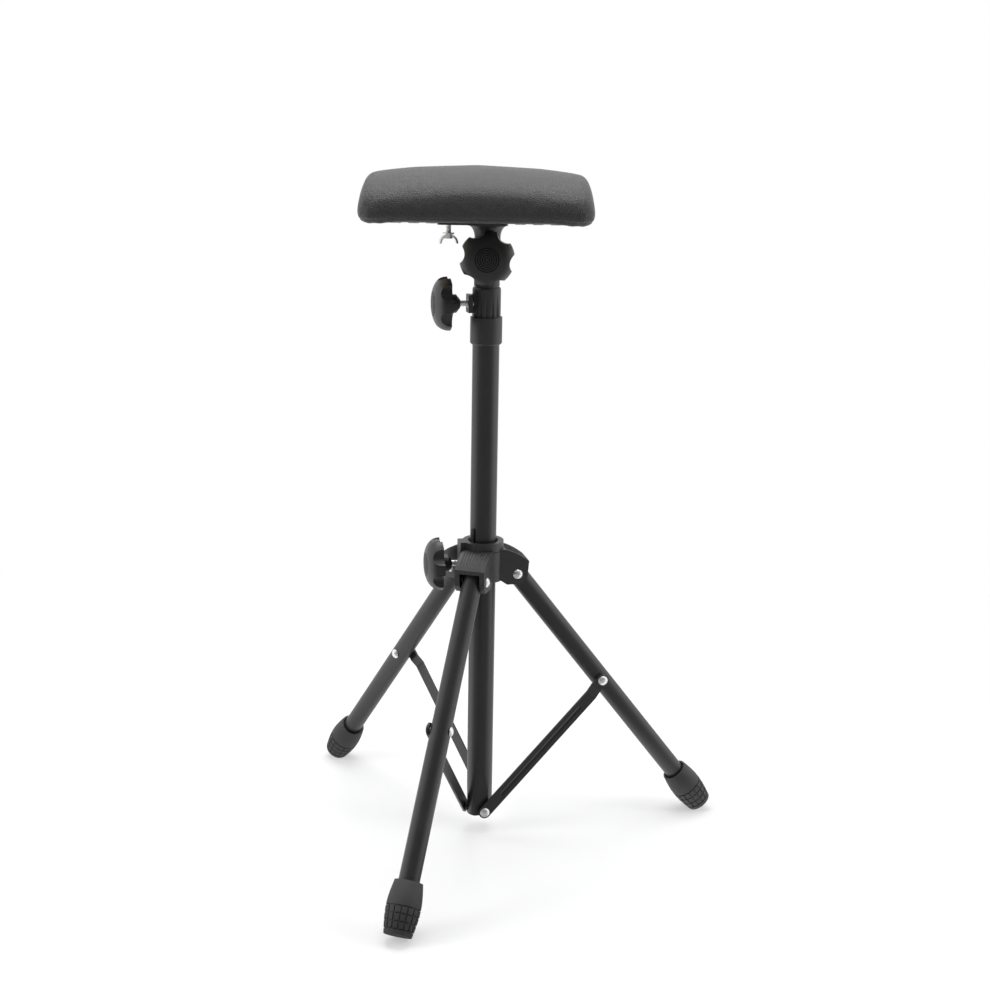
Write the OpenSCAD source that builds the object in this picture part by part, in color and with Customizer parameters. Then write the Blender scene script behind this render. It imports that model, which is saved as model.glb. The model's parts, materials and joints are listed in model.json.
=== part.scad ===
// Folding stand with a small padded rest for an arm: one column tube on three braced legs,
// a sliding hub that opens and closes them, and a post that lifts, turns and tilts the pad.
// The origin is on the floor under the column's axis, +X runs along the pad and +Z is up.

/* [Column and post] */
// Outer diameter of the column tube
column_d = 25; // [23:0.5:28]
// Wall of the column tube
column_wall = 1.2; // [1:0.1:1.5]
// Height of the column's lower end above the floor
column_bottom_h = 17.5; // [14:0.5:24]
// Height of the column's upper end above the floor
column_top_h = 512.2; // [460:0.2:560]
// Distance from the axis to the three flats pressed at the column's lower end
column_flat_r = 10.4; // [10:0.1:11]
// Height of the pressed flats above the column's lower end
column_flat_h = 14; // [12:0.5:20]
// Height over which the flats run out into the round tube
column_press_h = 34; // [25:1:45]
// Gap between the post and the column's bore
post_gap = 0.3; // [0.2:0.05:0.5]
// Wall of the post tube
post_wall = 1.2; // [1:0.1:1.5]
// Length of the post tube
post_len = 440; // [380:5:450]
// Length of the glide at the post's lower end
glide_len = 24; // [18:1:32]

/* [Legs] */
// Outer diameter of a leg tube
leg_d = 19; // [16:0.5:20]
// Wall of a leg tube
leg_wall = 1.2; // [1:0.1:1.5]
// Length from a leg's pivot to the end of its foot
leg_len = 328.6; // [300:1:345]
// Length of a leg tube above its pivot
leg_top_len = 8; // [7:0.5:8.5]
// Angle of an open leg from the vertical
leg_angle = 37.7; // [34:0.1:40]
// Direction of the right leg, seen from above
leg_turn = 13; // [0:1:40]
// Diameter of the pivot pins in the hub
leg_pin_d = 5; // [4:0.5:6]
// Diameter of the pivot pins' heads
leg_pin_head_d = 9.3; // [8:0.1:10]

/* [Feet] */
// Length of a rubber foot
foot_len = 46.3; // [40:0.5:50]
// Outer diameter at a foot's mouth
foot_mouth_d = 25.5; // [24:0.5:27]
// Outer diameter at a foot's widest ring
foot_belly_d = 31; // [28:0.5:32]
// Outer diameter at a foot's end
foot_end_d = 25; // [23:0.5:26]
// Depth of the tread cut into a foot
foot_tread = 0.9; // [0.5:0.1:1.2]
// Number of tread blocks around a foot
foot_blocks = 16; // [12:1:20]
// Thickness of rubber under the leg tube
foot_sole = 9; // [6:0.5:12]

/* [Braces] */
// Width of a brace strip
brace_w = 12; // [10:0.5:13]
// Thickness of a brace strip
brace_t = 2; // [1.5:0.1:2.5]
// Distance along a leg from its pivot to the brace rivet
brace_on_leg = 145.7; // [135:0.5:155]
// Height of the braces' lower rivets above the floor
brace_foot_h = 22; // [21:0.5:24]
// Sideways place of the braces' lower rivets, from the axis towards the leg
brace_foot_r = 2.5; // [0:0.1:3]
// Diameter of the brace rivets
rivet_d = 4; // [3.5:0.1:5]
// Diameter of the brace rivets' heads
rivet_head_d = 9.5; // [8:0.1:10]

/* [Hub] */
// Clearance between the hub's liner and the column
hub_slack = 1; // [0.9:0.05:1.2]
// Wall of the hub's liner
liner_wall = 1.1; // [0.9:0.1:1.5]
// Wall of the hub's barrel outside the liner
hub_wall = 5; // [4.5:0.1:6]
// Height of the hub's barrel
hub_h = 38; // [36:0.5:42]
// Height of the ring band at the hub's top
hub_ring_h = 8; // [6:0.5:9]
// Thickness of a yoke's cheek
cheek_t = 4.7; // [4:0.1:5]
// Thickness of the hood over a yoke
hood_t = 4.2; // [3.5:0.1:5]
// Width of the block that takes the hub's clamp screw
hub_boss_w = 15; // [13:0.5:16]

/* [Collar] */
// Height of the collar's sleeve around the column
collar_sleeve_h = 25.3; // [20:0.5:30]
// Height of the collar's fluted nose
collar_nose_h = 27.2; // [24:0.2:32]
// Wall of the collar's sleeve
collar_sleeve_wall = 2.3; // [2:0.1:3]
// Wall of the collar's nose
collar_nose_wall = 2; // [1.8:0.1:2.6]
// Number of flutes around the nose
collar_flutes = 14; // [10:1:18]
// Height of the block that takes the collar's clamp screw
collar_boss_h = 16.5; // [13:0.5:17]
// Width of that block
collar_boss_w = 12; // [10:0.5:13]
// Length of that block beyond the nose
collar_boss_len = 4.9; // [3:0.1:5.5]

/* [Knobs] */
// Diameter over a knob's lobes
knob_d = 50; // [44:1:51]
// Depth of a knob's domed cap
knob_cap_h = 15.5; // [13:0.5:17]
// Length of a knob's stem behind the cap
knob_stem_h = 10; // [9:0.5:12]
// Diameter of a knob's stem
knob_stem_d = 17; // [15:0.5:18]
// Wall of a knob's hollow cap
knob_wall = 2.4; // [2:0.1:3]
// Number of lobes
knob_lobes = 6; // [5:1:7]
// Depth of the scallops between the lobes
knob_scallop = 4.5; // [3:0.1:5]
// Radius of the scallops
knob_scallop_r = 11; // [9:0.5:12]
// Diameter of the clamp screws
screw_d = 6; // [5:0.5:6.5]
// Length of screw between the collar and its knob
collar_screw_free = 7.4; // [6:0.1:9]
// Length of screw between the hub and its knob
hub_screw_free = 7.6; // [6:0.1:9]
// Direction of the two clamp knobs, seen from above
knob_turn = 193; // [190:0.5:196]

/* [Tilt head] */
// Height of the tilt axis above the collar
tilt_rise = 28; // [27.5:0.1:32]
// Diameter of the two necks
neck_d = 23.6; // [22.5:0.1:24.5]
// Thickness of the lower head's ear
ear_t = 11; // [9:0.5:12]
// Thickness of a cheek on the upper head
fork_t = 5; // [4.5:0.1:6]
// Diameter of the tilt bolt
tilt_bolt_d = 6; // [5:0.5:7]
// Diameter of the flared top under the plate
flare_d = 37; // [34:0.5:40]
// Height from the tilt axis to the plate
plate_rise = 31.8; // [30:0.1:34]

/* [Pad] */
// Length of the mounting plate
plate_len = 61.6; // [58:0.2:70]
// Depth of the mounting plate
plate_depth = 108; // [100:1:112]
// Thickness of the mounting plate
plate_t = 2.5; // [2:0.1:3]
// Distance the plate runs past the axis on its short side
plate_short = 17.7; // [17:0.1:19]
// Length of the cushion
pad_len = 214; // [190:1:240]
// Depth of the cushion
pad_depth = 130; // [115:1:150]
// Height of the cushion at its crown
pad_h = 47; // [42:0.5:52]
// Corner radius of the cushion
pad_corner_r = 22; // [15:1:30]
// Distance from the column's axis to the cushion's middle
pad_shift = -10; // [-15:0.5:-5]
// Thickness of the board in the cushion
board_t = 9; // [8:0.5:12]
// Margin of cushion around the board
board_margin = 9; // [7:0.5:14]

/* [Wing nut] */
// Diameter of the bolt that hangs below the plate
wing_bolt_d = 5; // [4:0.5:6]
// Distance from the column's axis to that bolt
wing_bolt_out = 35.3; // [34:0.1:38]
// Gap between the plate and the wing nut's washer
wing_gap = 11.2; // [10:0.1:12]
// Span of the wings
wing_span = 17; // [15:0.5:18]
// Thickness of the wing strap
wing_t = 1.8; // [1.4:0.1:2.2]
// Width of the wing strap
wing_w = 6.5; // [6:0.1:8]

/* [Hidden] */
$fn = 96;

// Overrun of every cut, and seat gap of fixed pieces
cut = 1;
seat = 0.02;
// Clearance of turning pins, of sliding fits, and of pieces that pass each other
pin_gap = 0.05;
slide_gap = 0.1;
pass_gap = 0.3;
// Segments of the cushion's pocket corners
pocket_fn = 36;

// Column and post
column_r = column_d / 2;
column_bore_r = column_r - column_wall;
post_r = column_bore_r - post_gap;
post_bore_r = post_r - post_wall;
// Directions of the legs and of the hub liner's tongue, seen from above
leg_turns = [leg_turn, leg_turn - 120, leg_turn + 120];
tongue_from_knob = 30;
tongue_turn = knob_turn + tongue_from_knob;

// Hub
liner_r = column_r + hub_slack;
liner_out_r = liner_r + liner_wall;
hub_bore_r = liner_out_r + seat;
hub_r = hub_bore_r + hub_wall;
yoke_clear = 2.2;
pivot_r = hub_r + leg_d / 2 + yoke_clear - seat;
yoke_gap = 0.3;
yoke_slot_w = leg_d + 2 * yoke_gap;
yoke_w = yoke_slot_w + 2 * cheek_t;
yoke_root = 1.2;
foot_flat = 0.5;
pivot_h = leg_len * cos(leg_angle) + foot_end_d / 2 * sin(leg_angle) - foot_flat;
// Places on a yoke's side, from its pivot: the barrel's foot, the cheek's underside and the tip
cheek_below = 9.7;
tip_out = 10.9;
tip_above = 12.8;
tip_below = 3.5;
tip_slope = 1.4;
hood_crown = 1.6;
hood_steps = 6;
yoke_in = 2;
hub_below_pin = 6;
hub_bottom_h = pivot_h - hub_below_pin;
hub_top_h = hub_bottom_h + hub_h;
ring_h = hub_top_h - hub_ring_h;
hood_above_groove = 1.2;
hood_root_h = ring_h + hood_above_groove;
ring_groove = 0.8;
hub_screw_above_pin = 10.3;
hub_screw_h = pivot_h + hub_screw_above_pin;
hub_boss_out = 3.8;
hub_boss_r = hub_r + hub_boss_out;
hub_boss_below = 7;
tongue_w = 3.7;
tongue_h = 14;
tongue_t = 0.7;
liner_inset = 1;

// Braces
brace_gap = 0.35;
brace_side_gap = 0.7;
brace_low_y = column_r + brace_gap;
brace_high_y = leg_d / 2 + brace_side_gap;
brace_top_r = pivot_r + brace_on_leg * sin(leg_angle);
brace_top_h = pivot_h - brace_on_leg * cos(leg_angle);
brace_len = norm([brace_top_r - brace_foot_r, brace_top_h - brace_foot_h]);
brace_angle = atan2(brace_top_r - brace_foot_r, brace_top_h - brace_foot_h);
brace_end_flat = 10;
brace_bend = 8;
groove_w = 4;
groove_depth = 0.8;
groove_margin = 24;
// Extra radius of the two open rivet holes
open_hole = 1.2;
rivet_r = rivet_d / 2;
rivet_dome = 2.4;
rivet_inner_head_r = 3.4;
rivet_inner_head_h = 1.1;
spacer_r = 4.6;
leg_pin_dome = 2.4;

// Feet
foot_belly_share = 0.47;
foot_recess = 3;
foot_recess_gap = 1.5;
tread_rows = 3;
tread_band = 4.3;
tread_groove = 1.2;
foot_rim = 1.2;

// Collar
collar_bottom_h = column_top_h - collar_sleeve_h;
collar_top_h = column_top_h + collar_nose_h;
collar_sleeve_r = column_r + collar_sleeve_wall;
collar_bore_r = post_r + slide_gap;
collar_nose_r = collar_bore_r + collar_nose_wall;
collar_edge = 1.5;
collar_screw_share = 0.46;
collar_screw_h = column_top_h + collar_nose_h * collar_screw_share;
collar_boss_r = collar_nose_r + collar_boss_len;
flute_depth = 1.4;
flute_half_w = 2.4;
flute_foot = 1;
flute_top_gap = 2.5;

// Clamp screws: a brass insert, a screw and a soft tip, all on one line
screw_r = screw_d / 2;
insert_wall = 1.3;
insert_out_r = screw_r + pin_gap + insert_wall;
tip_t = 1.5;
tip_step = 0.5;
tip_r = screw_r - tip_step;
insert_inset = 0.3;
hub_tip_gap = 0.6;

// Knobs
knob_r = knob_d / 2;
knob_power = 2.5;
knob_steps = 14;
knob_h = knob_cap_h + knob_stem_h;
knob_cone_h = 3.4;
knob_tip_wall = 1.6;
knob_tip_r = screw_r + knob_tip_wall;
knob_lip = 0.8;
knob_rings = 5;
knob_ring_pitch = 2.1;
knob_ring_w = 0.9;
knob_ring_depth = 0.8;
collar_knob_r = collar_boss_r + collar_screw_free;
hub_knob_r = hub_boss_r + hub_screw_free;
screw_in_knob = 12;

// Post and lower head
post_above_collar = 0.4;
glide_lip = 6;
post_over_rivets = 12;
post_stop_h = glide_lip + max(brace_foot_h + rivet_head_d / 2 + post_over_rivets,
    column_bottom_h + column_flat_h + column_press_h + slide_gap);
post_top_h = max(collar_top_h + post_above_collar, post_stop_h + post_len);
post_bottom_h = post_top_h - post_len;
glide_gap = slide_gap;
spigot_len = 20;
post_pin_r = 1.5;
post_pin_drop = 10;
tilt_h = post_top_h - post_above_collar + tilt_rise;
neck_r = neck_d / 2;
ear_proud = 0.2;
ear_r = neck_r + ear_proud;
neck_to_fork = 2.5;
neck_top_h = tilt_h - ear_r - neck_to_fork;
neck_groove = 0.9;

// Upper head
fork_in = ear_t / 2 + pass_gap;
fork_out = fork_in + fork_t;
web_gap = 0.6;
web_r = ear_r + web_gap;
flare_rim = 4;
flare_steps = 8;
flare_r = flare_d / 2;
plate_h = tilt_h + plate_rise;
neck_web = 4.4;
flare_foot_h = tilt_h + web_r + neck_web;
flare_h = plate_h - flare_rim - flare_foot_h;
tilt_bolt_r = tilt_bolt_d / 2;
bolt_head_r = 6.6;
bolt_head_h = 3;
washer_t = 1.2;
washer_r = 8;
nut_w = 10;
nut_t = 5;
tilt_knob_y = fork_out + washer_t + 2 * slide_gap;
tilt_bolt_in_knob = 13;

// Plate, board and their screws
plate_top_h = plate_h + plate_t;
plate_corner_r = 4;
plate_long = plate_len - plate_short;
wood_screw_r = 1.9;
wood_head_r = 3.7;
wood_head_h = wood_head_r - wood_screw_r;
wood_screw_in = 7;
plate_screw_in_x = 7;
plate_screw_in_y = 14;
plate_screw_y = plate_depth / 2 - plate_screw_in_y;
head_screw_r = 2;
head_screw_head_r = 3.9;
head_screw_len = 12;
head_screw_x = 5.5;
head_screw_y = 7;
board_corner_r = pad_corner_r - board_margin;
pad_bolt_head_r = 7;
pad_bolt_head_h = 1.5;

// Wing nut
wing_bolt_r = wing_bolt_d / 2;
wing_washer_t = 1;
wing_washer_r = 5.4;
wing_top_h = plate_h - wing_gap - wing_washer_t - seat;
wing_r = wing_span / 2;
wing_collar_r = 4;
wing_collar_h = 4;
wing_turn = 12;

// Cushion: stations from the bottom edge up its side and over its crown, each with its inset at
// the two ends, its inset at the front and back, and its share of the height there
cover_above_plate = 0.7;
pad_bottom_h = plate_top_h + cover_above_plate;
pad_fn = 56;
pad_stations = [
    [5.0, 5.0, 0.00], [1.8, 1.8, 0.02], [0.5, 0.5, 0.08], [0.0, 0.0, 0.20], [0.3, 0.0, 0.36],
    [1.0, 0.2, 0.50], [2.0, 0.6, 0.65], [3.2, 1.2, 0.77], [4.8, 2.2, 0.87], [7.2, 4.2, 0.945],
    [10.5, 7.5, 0.985], [16, 13, 1], [25, 22, 1], [36, 33, 1], [50, 47, 1]
];
pad_soft = 9;
pad_end_drop_share = 0.20;
pad_side_drop_share = 0.51;
pad_draw_in = 0.5;
board_hole_gap = 0.3;

// Turns its children to a direction seen from above: +X then points away from the column
module towards(turn) {
    rotate([0, 0, turn]) children();
}

// Puts its children on a leg: the pivot is the origin, and the leg runs down along -Z
module on_leg(turn) {
    towards(turn) translate([pivot_r, 0, pivot_h]) rotate([0, -leg_angle, 0]) children();
}

// Puts its children on a brace: the lower rivet is the origin, the upper one is up along +Z
module on_brace(turn) {
    towards(turn) translate([brace_foot_r, 0, brace_foot_h]) rotate([0, brace_angle, 0]) children();
}

// Puts its children on a clamp screw's line: +Z points away from the column
module on_screw(height) {
    towards(knob_turn) translate([0, 0, height]) rotate([0, 90, 0]) children();
}

// Puts its children on the tilt axis: +Z points to the front of the stand
module on_tilt() {
    translate([0, 0, tilt_h]) rotate([90, 0, 0]) children();
}

module ring(outer_r, inner_r, h) {
    difference() {
        cylinder(r = outer_r, h = h);
        translate([0, 0, -cut]) cylinder(r = inner_r, h = h + 2 * cut);
    }
}

// A rivet's round head, its flat side at the origin
module dome(r, h) {
    sphere_r = (r * r + h * h) / (2 * h);
    intersection() {
        translate([0, 0, h - sphere_r]) sphere(r = sphere_r);
        cylinder(r = r, h = h);
    }
}

module rounded_plate(x0, x1, depth, r, h) {
    for (x = [x0 + r, x1 - r], y = [-1, 1]) {
        translate([x, y * (depth / 2 - r), 0]) cylinder(r = r, h = h);
    }
    translate([x0 + r, -depth / 2, 0]) cube([x1 - x0 - 2 * r, depth, h]);
    translate([x0, r - depth / 2, 0]) cube([x1 - x0, depth - 2 * r, h]);
}

// The column's solid shape: a round bar with three flats pressed in at its lower end
module column_shape(inset, overrun) {
    bar_r = column_r - inset;
    flat_r = column_flat_r - inset;
    flat_top = column_bottom_h + column_flat_h;
    difference() {
        translate([0, 0, column_bottom_h - overrun])
            cylinder(r = bar_r, h = column_top_h - column_bottom_h + 2 * overrun);
        for (turn = leg_turns) {
            towards(turn - 90) translate([0, column_d, 0]) rotate([90, 0, 0])
                linear_extrude(2 * column_d) polygon([
                    [flat_r, column_bottom_h - 2 * cut], [flat_r, flat_top],
                    [bar_r + cut * (column_r - column_flat_r) / column_press_h,
                        flat_top + column_press_h + cut],
                    [column_d, flat_top + column_press_h + cut], [column_d, column_bottom_h - 2 * cut]
                ]);
        }
    }
}

module column_tube() {
    color([0.13, 0.13, 0.14]) difference() {
        column_shape(0, 0);
        column_shape(column_wall, cut);
        for (turn = leg_turns) {
            towards(turn) translate([brace_foot_r, 0, brace_foot_h]) rotate([90, 0, 0])
                cylinder(r = rivet_r + seat, h = column_d);
        }
    }
}

// Lower rivets of the braces, headed inside the column
module brace_foot_rivets() {
    inner_y = column_flat_r - column_wall;
    outer_y = brace_low_y + brace_t + slide_gap;
    color([0.8, 0.8, 0.82]) for (turn = leg_turns) {
        towards(turn) translate([brace_foot_r, 0, brace_foot_h]) rotate([90, 0, 0]) {
            translate([0, 0, inner_y - rivet_inner_head_h])
                cylinder(r = rivet_inner_head_r, h = rivet_inner_head_h);
            translate([0, 0, inner_y - rivet_inner_head_h])
                cylinder(r = rivet_r, h = outer_y - inner_y + rivet_inner_head_h + seat);
            translate([0, 0, outer_y]) dome(rivet_head_d / 2, rivet_dome);
        }
    }
}

module brace_foot_spacers() {
    color([0.16, 0.16, 0.17]) for (turn = leg_turns) {
        towards(turn) translate([brace_foot_r, -column_flat_r, brace_foot_h]) rotate([90, 0, 0])
            ring(spacer_r, rivet_r + seat, brace_low_y - slide_gap - column_flat_r);
    }
}

// A brace strip: straight along the column's side, bent in to lie beside its leg
module brace(turn, top_hole_r) {
    low_end = -brace_w / 2;
    bend_low = brace_len - brace_end_flat - brace_bend;
    bend_high = brace_len - brace_end_flat;
    high_end = brace_len + brace_w / 2;
    color([0.14, 0.14, 0.15]) on_brace(turn) difference() {
        intersection() {
            rotate([0, 90, 0]) translate([0, 0, -brace_w / 2]) linear_extrude(brace_w) polygon([
                [-low_end, -brace_low_y], [-bend_low, -brace_low_y],
                [-bend_high, -brace_high_y], [-high_end, -brace_high_y],
                [-high_end, -brace_high_y - brace_t], [-bend_high, -brace_high_y - brace_t],
                [-bend_low, -brace_low_y - brace_t], [-low_end, -brace_low_y - brace_t]
            ]);
            rotate([90, 0, 0]) union() {
                cylinder(r = brace_w / 2, h = column_d);
                translate([0, brace_len, 0]) cylinder(r = brace_w / 2, h = column_d);
                translate([-brace_w / 2, 0, 0]) cube([brace_w, brace_len, column_d]);
            }
        }
        rotate([90, 0, 0]) cylinder(r = rivet_r + pin_gap, h = column_d);
        translate([0, 0, brace_len]) rotate([90, 0, 0]) cylinder(r = top_hole_r, h = column_d);
        translate([0, -brace_low_y - brace_t, groove_margin])
            linear_extrude(bend_low - 2 * groove_margin + brace_bend)
            polygon([[-groove_w / 2, -seat], [groove_w / 2, -seat], [0, groove_depth]]);
    }
}

module brace_right() brace(leg_turns[0], rivet_r + pin_gap);
module brace_front() brace(leg_turns[1], rivet_r + open_hole);
module brace_left() brace(leg_turns[2], rivet_r + open_hole);

// The rivet through a leg and its brace, with a head at each end
module brace_rivet(turn) {
    brace_side = brace_high_y + brace_t + brace_side_gap;
    color([0.8, 0.8, 0.82]) on_leg(turn) translate([0, 0, -brace_on_leg]) {
        translate([0, leg_d / 2 + seat, 0]) rotate([90, 0, 0])
            cylinder(r = rivet_r, h = leg_d / 2 + brace_side + 2 * seat);
        translate([0, leg_d / 2, 0]) rotate([-90, 0, 0]) dome(rivet_head_d / 2, rivet_dome);
        translate([0, -brace_side, 0]) rotate([90, 0, 0]) dome(rivet_head_d / 2, rivet_dome);
    }
}

module brace_rivet_right() brace_rivet(leg_turns[0]);
module brace_rivet_front() brace_rivet(leg_turns[1]);
module brace_rivet_left() brace_rivet(leg_turns[2]);

module leg_tube(turn) {
    tube_below = leg_len - foot_sole;
    color([0.13, 0.13, 0.14]) on_leg(turn) difference() {
        translate([0, 0, -tube_below])
            ring(leg_d / 2, leg_d / 2 - leg_wall, tube_below + leg_top_len);
        translate([0, leg_d, 0]) rotate([90, 0, 0]) cylinder(r = leg_pin_d / 2 + pin_gap, h = 2 * leg_d);
        translate([0, leg_d, -brace_on_leg]) rotate([90, 0, 0])
            cylinder(r = rivet_r + seat, h = 2 * leg_d);
    }
}

module leg_tube_right() leg_tube(leg_turns[0]);
module leg_tube_front() leg_tube(leg_turns[1]);
module leg_tube_left() leg_tube(leg_turns[2]);

// Radius of a foot's outside at a distance from its mouth
function foot_r(d) = let (belly = foot_len * foot_belly_share)
    d < belly
        ? foot_mouth_d / 2 + (foot_belly_d - foot_mouth_d) / 2 * sin(90 * d / belly)
        : foot_end_d / 2 + (foot_belly_d - foot_end_d) / 2 * cos(90 * (d - belly) / (foot_len - belly));

module foot_profile(inset) {
    steps = 18;
    rotate_extrude() polygon(concat(
        [[0, 0]],
        [for (i = [0:steps]) [foot_r(foot_len * i / steps) - inset, -foot_len * i / steps]],
        [[0, -foot_len]]
    ));
}

module foot(turn) {
    tread_top = foot_len * foot_belly_share + tread_groove / 2;
    tread_h = foot_len - tread_band - tread_top;
    row_h = tread_h / tread_rows;
    color([0.1, 0.1, 0.1]) difference() {
        on_leg(turn) translate([0, 0, foot_len - leg_len]) difference() {
            union() {
                foot_profile(foot_tread);
                difference() {
                    foot_profile(0);
                    for (i = [0:tread_rows]) {
                        translate([0, 0, -tread_top - row_h * i - tread_groove / 2])
                            cylinder(r = foot_belly_d, h = tread_groove);
                    }
                    for (i = [0:foot_blocks - 1]) {
                        rotate([0, 0, 360 * (i + 0.5) / foot_blocks])
                            translate([0, -tread_groove / 2, -tread_top - tread_h])
                            cube([foot_belly_d, tread_groove, tread_h]);
                    }
                }
            }
            translate([0, 0, foot_sole - foot_len]) cylinder(r = leg_d / 2 + seat, h = foot_len);
            translate([0, 0, -foot_recess])
                cylinder(r = leg_d / 2 + foot_recess_gap, h = foot_recess + cut);
        }
        translate([-leg_len, -leg_len, -2 * foot_belly_d])
            cube([2 * leg_len, 2 * leg_len, 2 * foot_belly_d]);
    }
}

module foot_right() foot(leg_turns[0]);
module foot_front() foot(leg_turns[1]);
module foot_left() foot(leg_turns[2]);

// Points along a yoke's crowned hood, from the barrel out to the tip, drop below its top
function hood_line(drop) = let (
    root = [hub_r - yoke_root, hood_root_h - drop],
    tip = [pivot_r + tip_out, pivot_h + tip_above - drop],
    mid = (root + tip) / 2 + [0, 2 * hood_crown]
) [
    for (i = [0:hood_steps])
        let (s = i / hood_steps) (1 - s) * (1 - s) * root + 2 * s * (1 - s) * mid + s * s * tip
];

// Side of a yoke as seen along its pin: hood above, cheeks below
module yoke_side() {
    polygon(concat(
        [[hub_bore_r - yoke_in, hood_root_h]],
        hood_line(0),
        [
            [pivot_r + tip_out - tip_slope, pivot_h - tip_below],
            [pivot_r + cheek_below / 2, pivot_h - cheek_below],
            [hub_r + yoke_root, pivot_h - cheek_below],
            [hub_bore_r - yoke_in, hub_bottom_h + yoke_in]
        ]
    ));
}

module yoke(turn) {
    tip_top = hood_line(0)[hood_steps];
    towards(turn) difference() {
        translate([0, yoke_w / 2, 0]) rotate([90, 0, 0]) linear_extrude(yoke_w) yoke_side();
        translate([0, yoke_slot_w / 2, 0]) rotate([90, 0, 0]) linear_extrude(yoke_slot_w)
            polygon(concat(
                hood_line(hood_t),
                [
                    [tip_top[0] + cut, tip_top[1] - hood_t],
                    [tip_top[0] + cut, hub_bottom_h - cheek_below],
                    [hub_r - yoke_root, hub_bottom_h - cheek_below]
                ]
            ));
        translate([pivot_r, yoke_w, pivot_h]) rotate([90, 0, 0])
            cylinder(r = leg_pin_d / 2 + seat, h = 2 * yoke_w);
    }
}

module hub_body() {
    color([0.11, 0.11, 0.12]) difference() {
        union() {
            translate([0, 0, hub_bottom_h]) cylinder(r = hub_r, h = ring_h - ring_groove - hub_bottom_h);
            translate([0, 0, hub_bottom_h]) cylinder(r = hub_r - ring_groove, h = hub_h);
            translate([0, 0, ring_h]) cylinder(r = hub_r, h = hub_ring_h);
            for (turn = leg_turns) {
                yoke(turn);
            }
            towards(knob_turn) translate([0, -hub_boss_w / 2, hub_screw_h - hub_boss_below])
                cube([hub_boss_r, hub_boss_w, hub_top_h - hub_screw_h + hub_boss_below]);
        }
        translate([0, 0, hub_bottom_h - cheek_below]) cylinder(r = hub_bore_r, h = hub_h + 2 * cheek_below);
        on_screw(hub_screw_h) cylinder(r = insert_out_r + seat, h = hub_boss_r + cut);
        // The slots stay open where the barrel would close them
        for (turn = leg_turns) {
            towards(turn) translate([hub_r - yoke_root, -yoke_slot_w / 2, hub_bottom_h - cut])
                cube([yoke_root + cut, yoke_slot_w, hood_root_h - 2 * hood_t - hub_bottom_h + cut]);
        }
    }
}

// Plastic liner in the hub's bore, with one tongue that stands up beside the column
module hub_liner() {
    liner_h = hub_h - 2 * liner_inset;
    color([0.05, 0.05, 0.05]) difference() {
        union() {
            translate([0, 0, hub_bottom_h + liner_inset]) ring(liner_out_r, liner_r, liner_h);
            translate([0, 0, hub_bottom_h + liner_inset]) intersection() {
                ring(liner_r + tongue_t, liner_r, liner_h + tongue_h);
                towards(tongue_turn) translate([0, -tongue_w / 2, 0])
                    cube([hub_r, tongue_w, liner_h + tongue_h]);
            }
        }
        on_screw(hub_screw_h) cylinder(r = insert_out_r + seat, h = hub_boss_r);
    }
}

module hub_insert() {
    color([0.75, 0.6, 0.3]) on_screw(hub_screw_h) translate([0, 0, liner_out_r + insert_inset])
        ring(insert_out_r, screw_r + pin_gap, hub_boss_r - liner_out_r - 2 * insert_inset);
}

module hub_tip() {
    color([0.85, 0.85, 0.82]) on_screw(hub_screw_h) translate([0, 0, column_r + hub_tip_gap])
        cylinder(r = tip_r, h = tip_t);
}

module hub_screw() {
    start = column_r + hub_tip_gap + tip_t + seat;
    color([0.82, 0.82, 0.84]) on_screw(hub_screw_h) translate([0, 0, start])
        cylinder(r = screw_r, h = hub_knob_r + screw_in_knob - start);
}

// Pins of the three legs, riveted in the yokes' cheeks
module leg_pins() {
    color([0.8, 0.8, 0.82]) for (turn = leg_turns) {
        towards(turn) translate([pivot_r, 0, pivot_h]) {
            translate([0, yoke_w / 2 + seat, 0]) rotate([90, 0, 0])
                cylinder(r = leg_pin_d / 2, h = yoke_w + 2 * seat);
            for (side = [-1, 1]) {
                translate([0, side * yoke_w / 2, 0]) rotate([-side * 90, 0, 0])
                    dome(leg_pin_head_d / 2, leg_pin_dome);
            }
        }
    }
}

// Depth of the domed cap at a distance from the knob's axis, for a cap of radius r and height h
function cap_h(x, r, h) = h * pow(1 - pow(x / r, knob_power), 1 / knob_power);

module cap_profile(r, h) {
    rotate_extrude() polygon(concat(
        [[0, 0]],
        [for (i = [0:knob_steps])
            let (x = r * sin(90 * i / knob_steps)) [x, cap_h(x, r, h) + (i == knob_steps ? knob_lip : 0)]],
        [[r, 0]]
    ));
}

// A star of scallops cut around a knob; grow leaves a wall when the hollow is cut
module knob_star(r, h, grow) {
    scallop_out = knob_r - knob_scallop + knob_scallop_r;
    difference() {
        cap_profile(r, h);
        for (i = [0:knob_lobes - 1]) {
            rotate([0, 0, 360 * (i + 0.5) / knob_lobes]) translate([scallop_out, 0, -cut])
                cylinder(r = knob_scallop_r + grow, h = knob_h);
        }
    }
}

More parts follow.
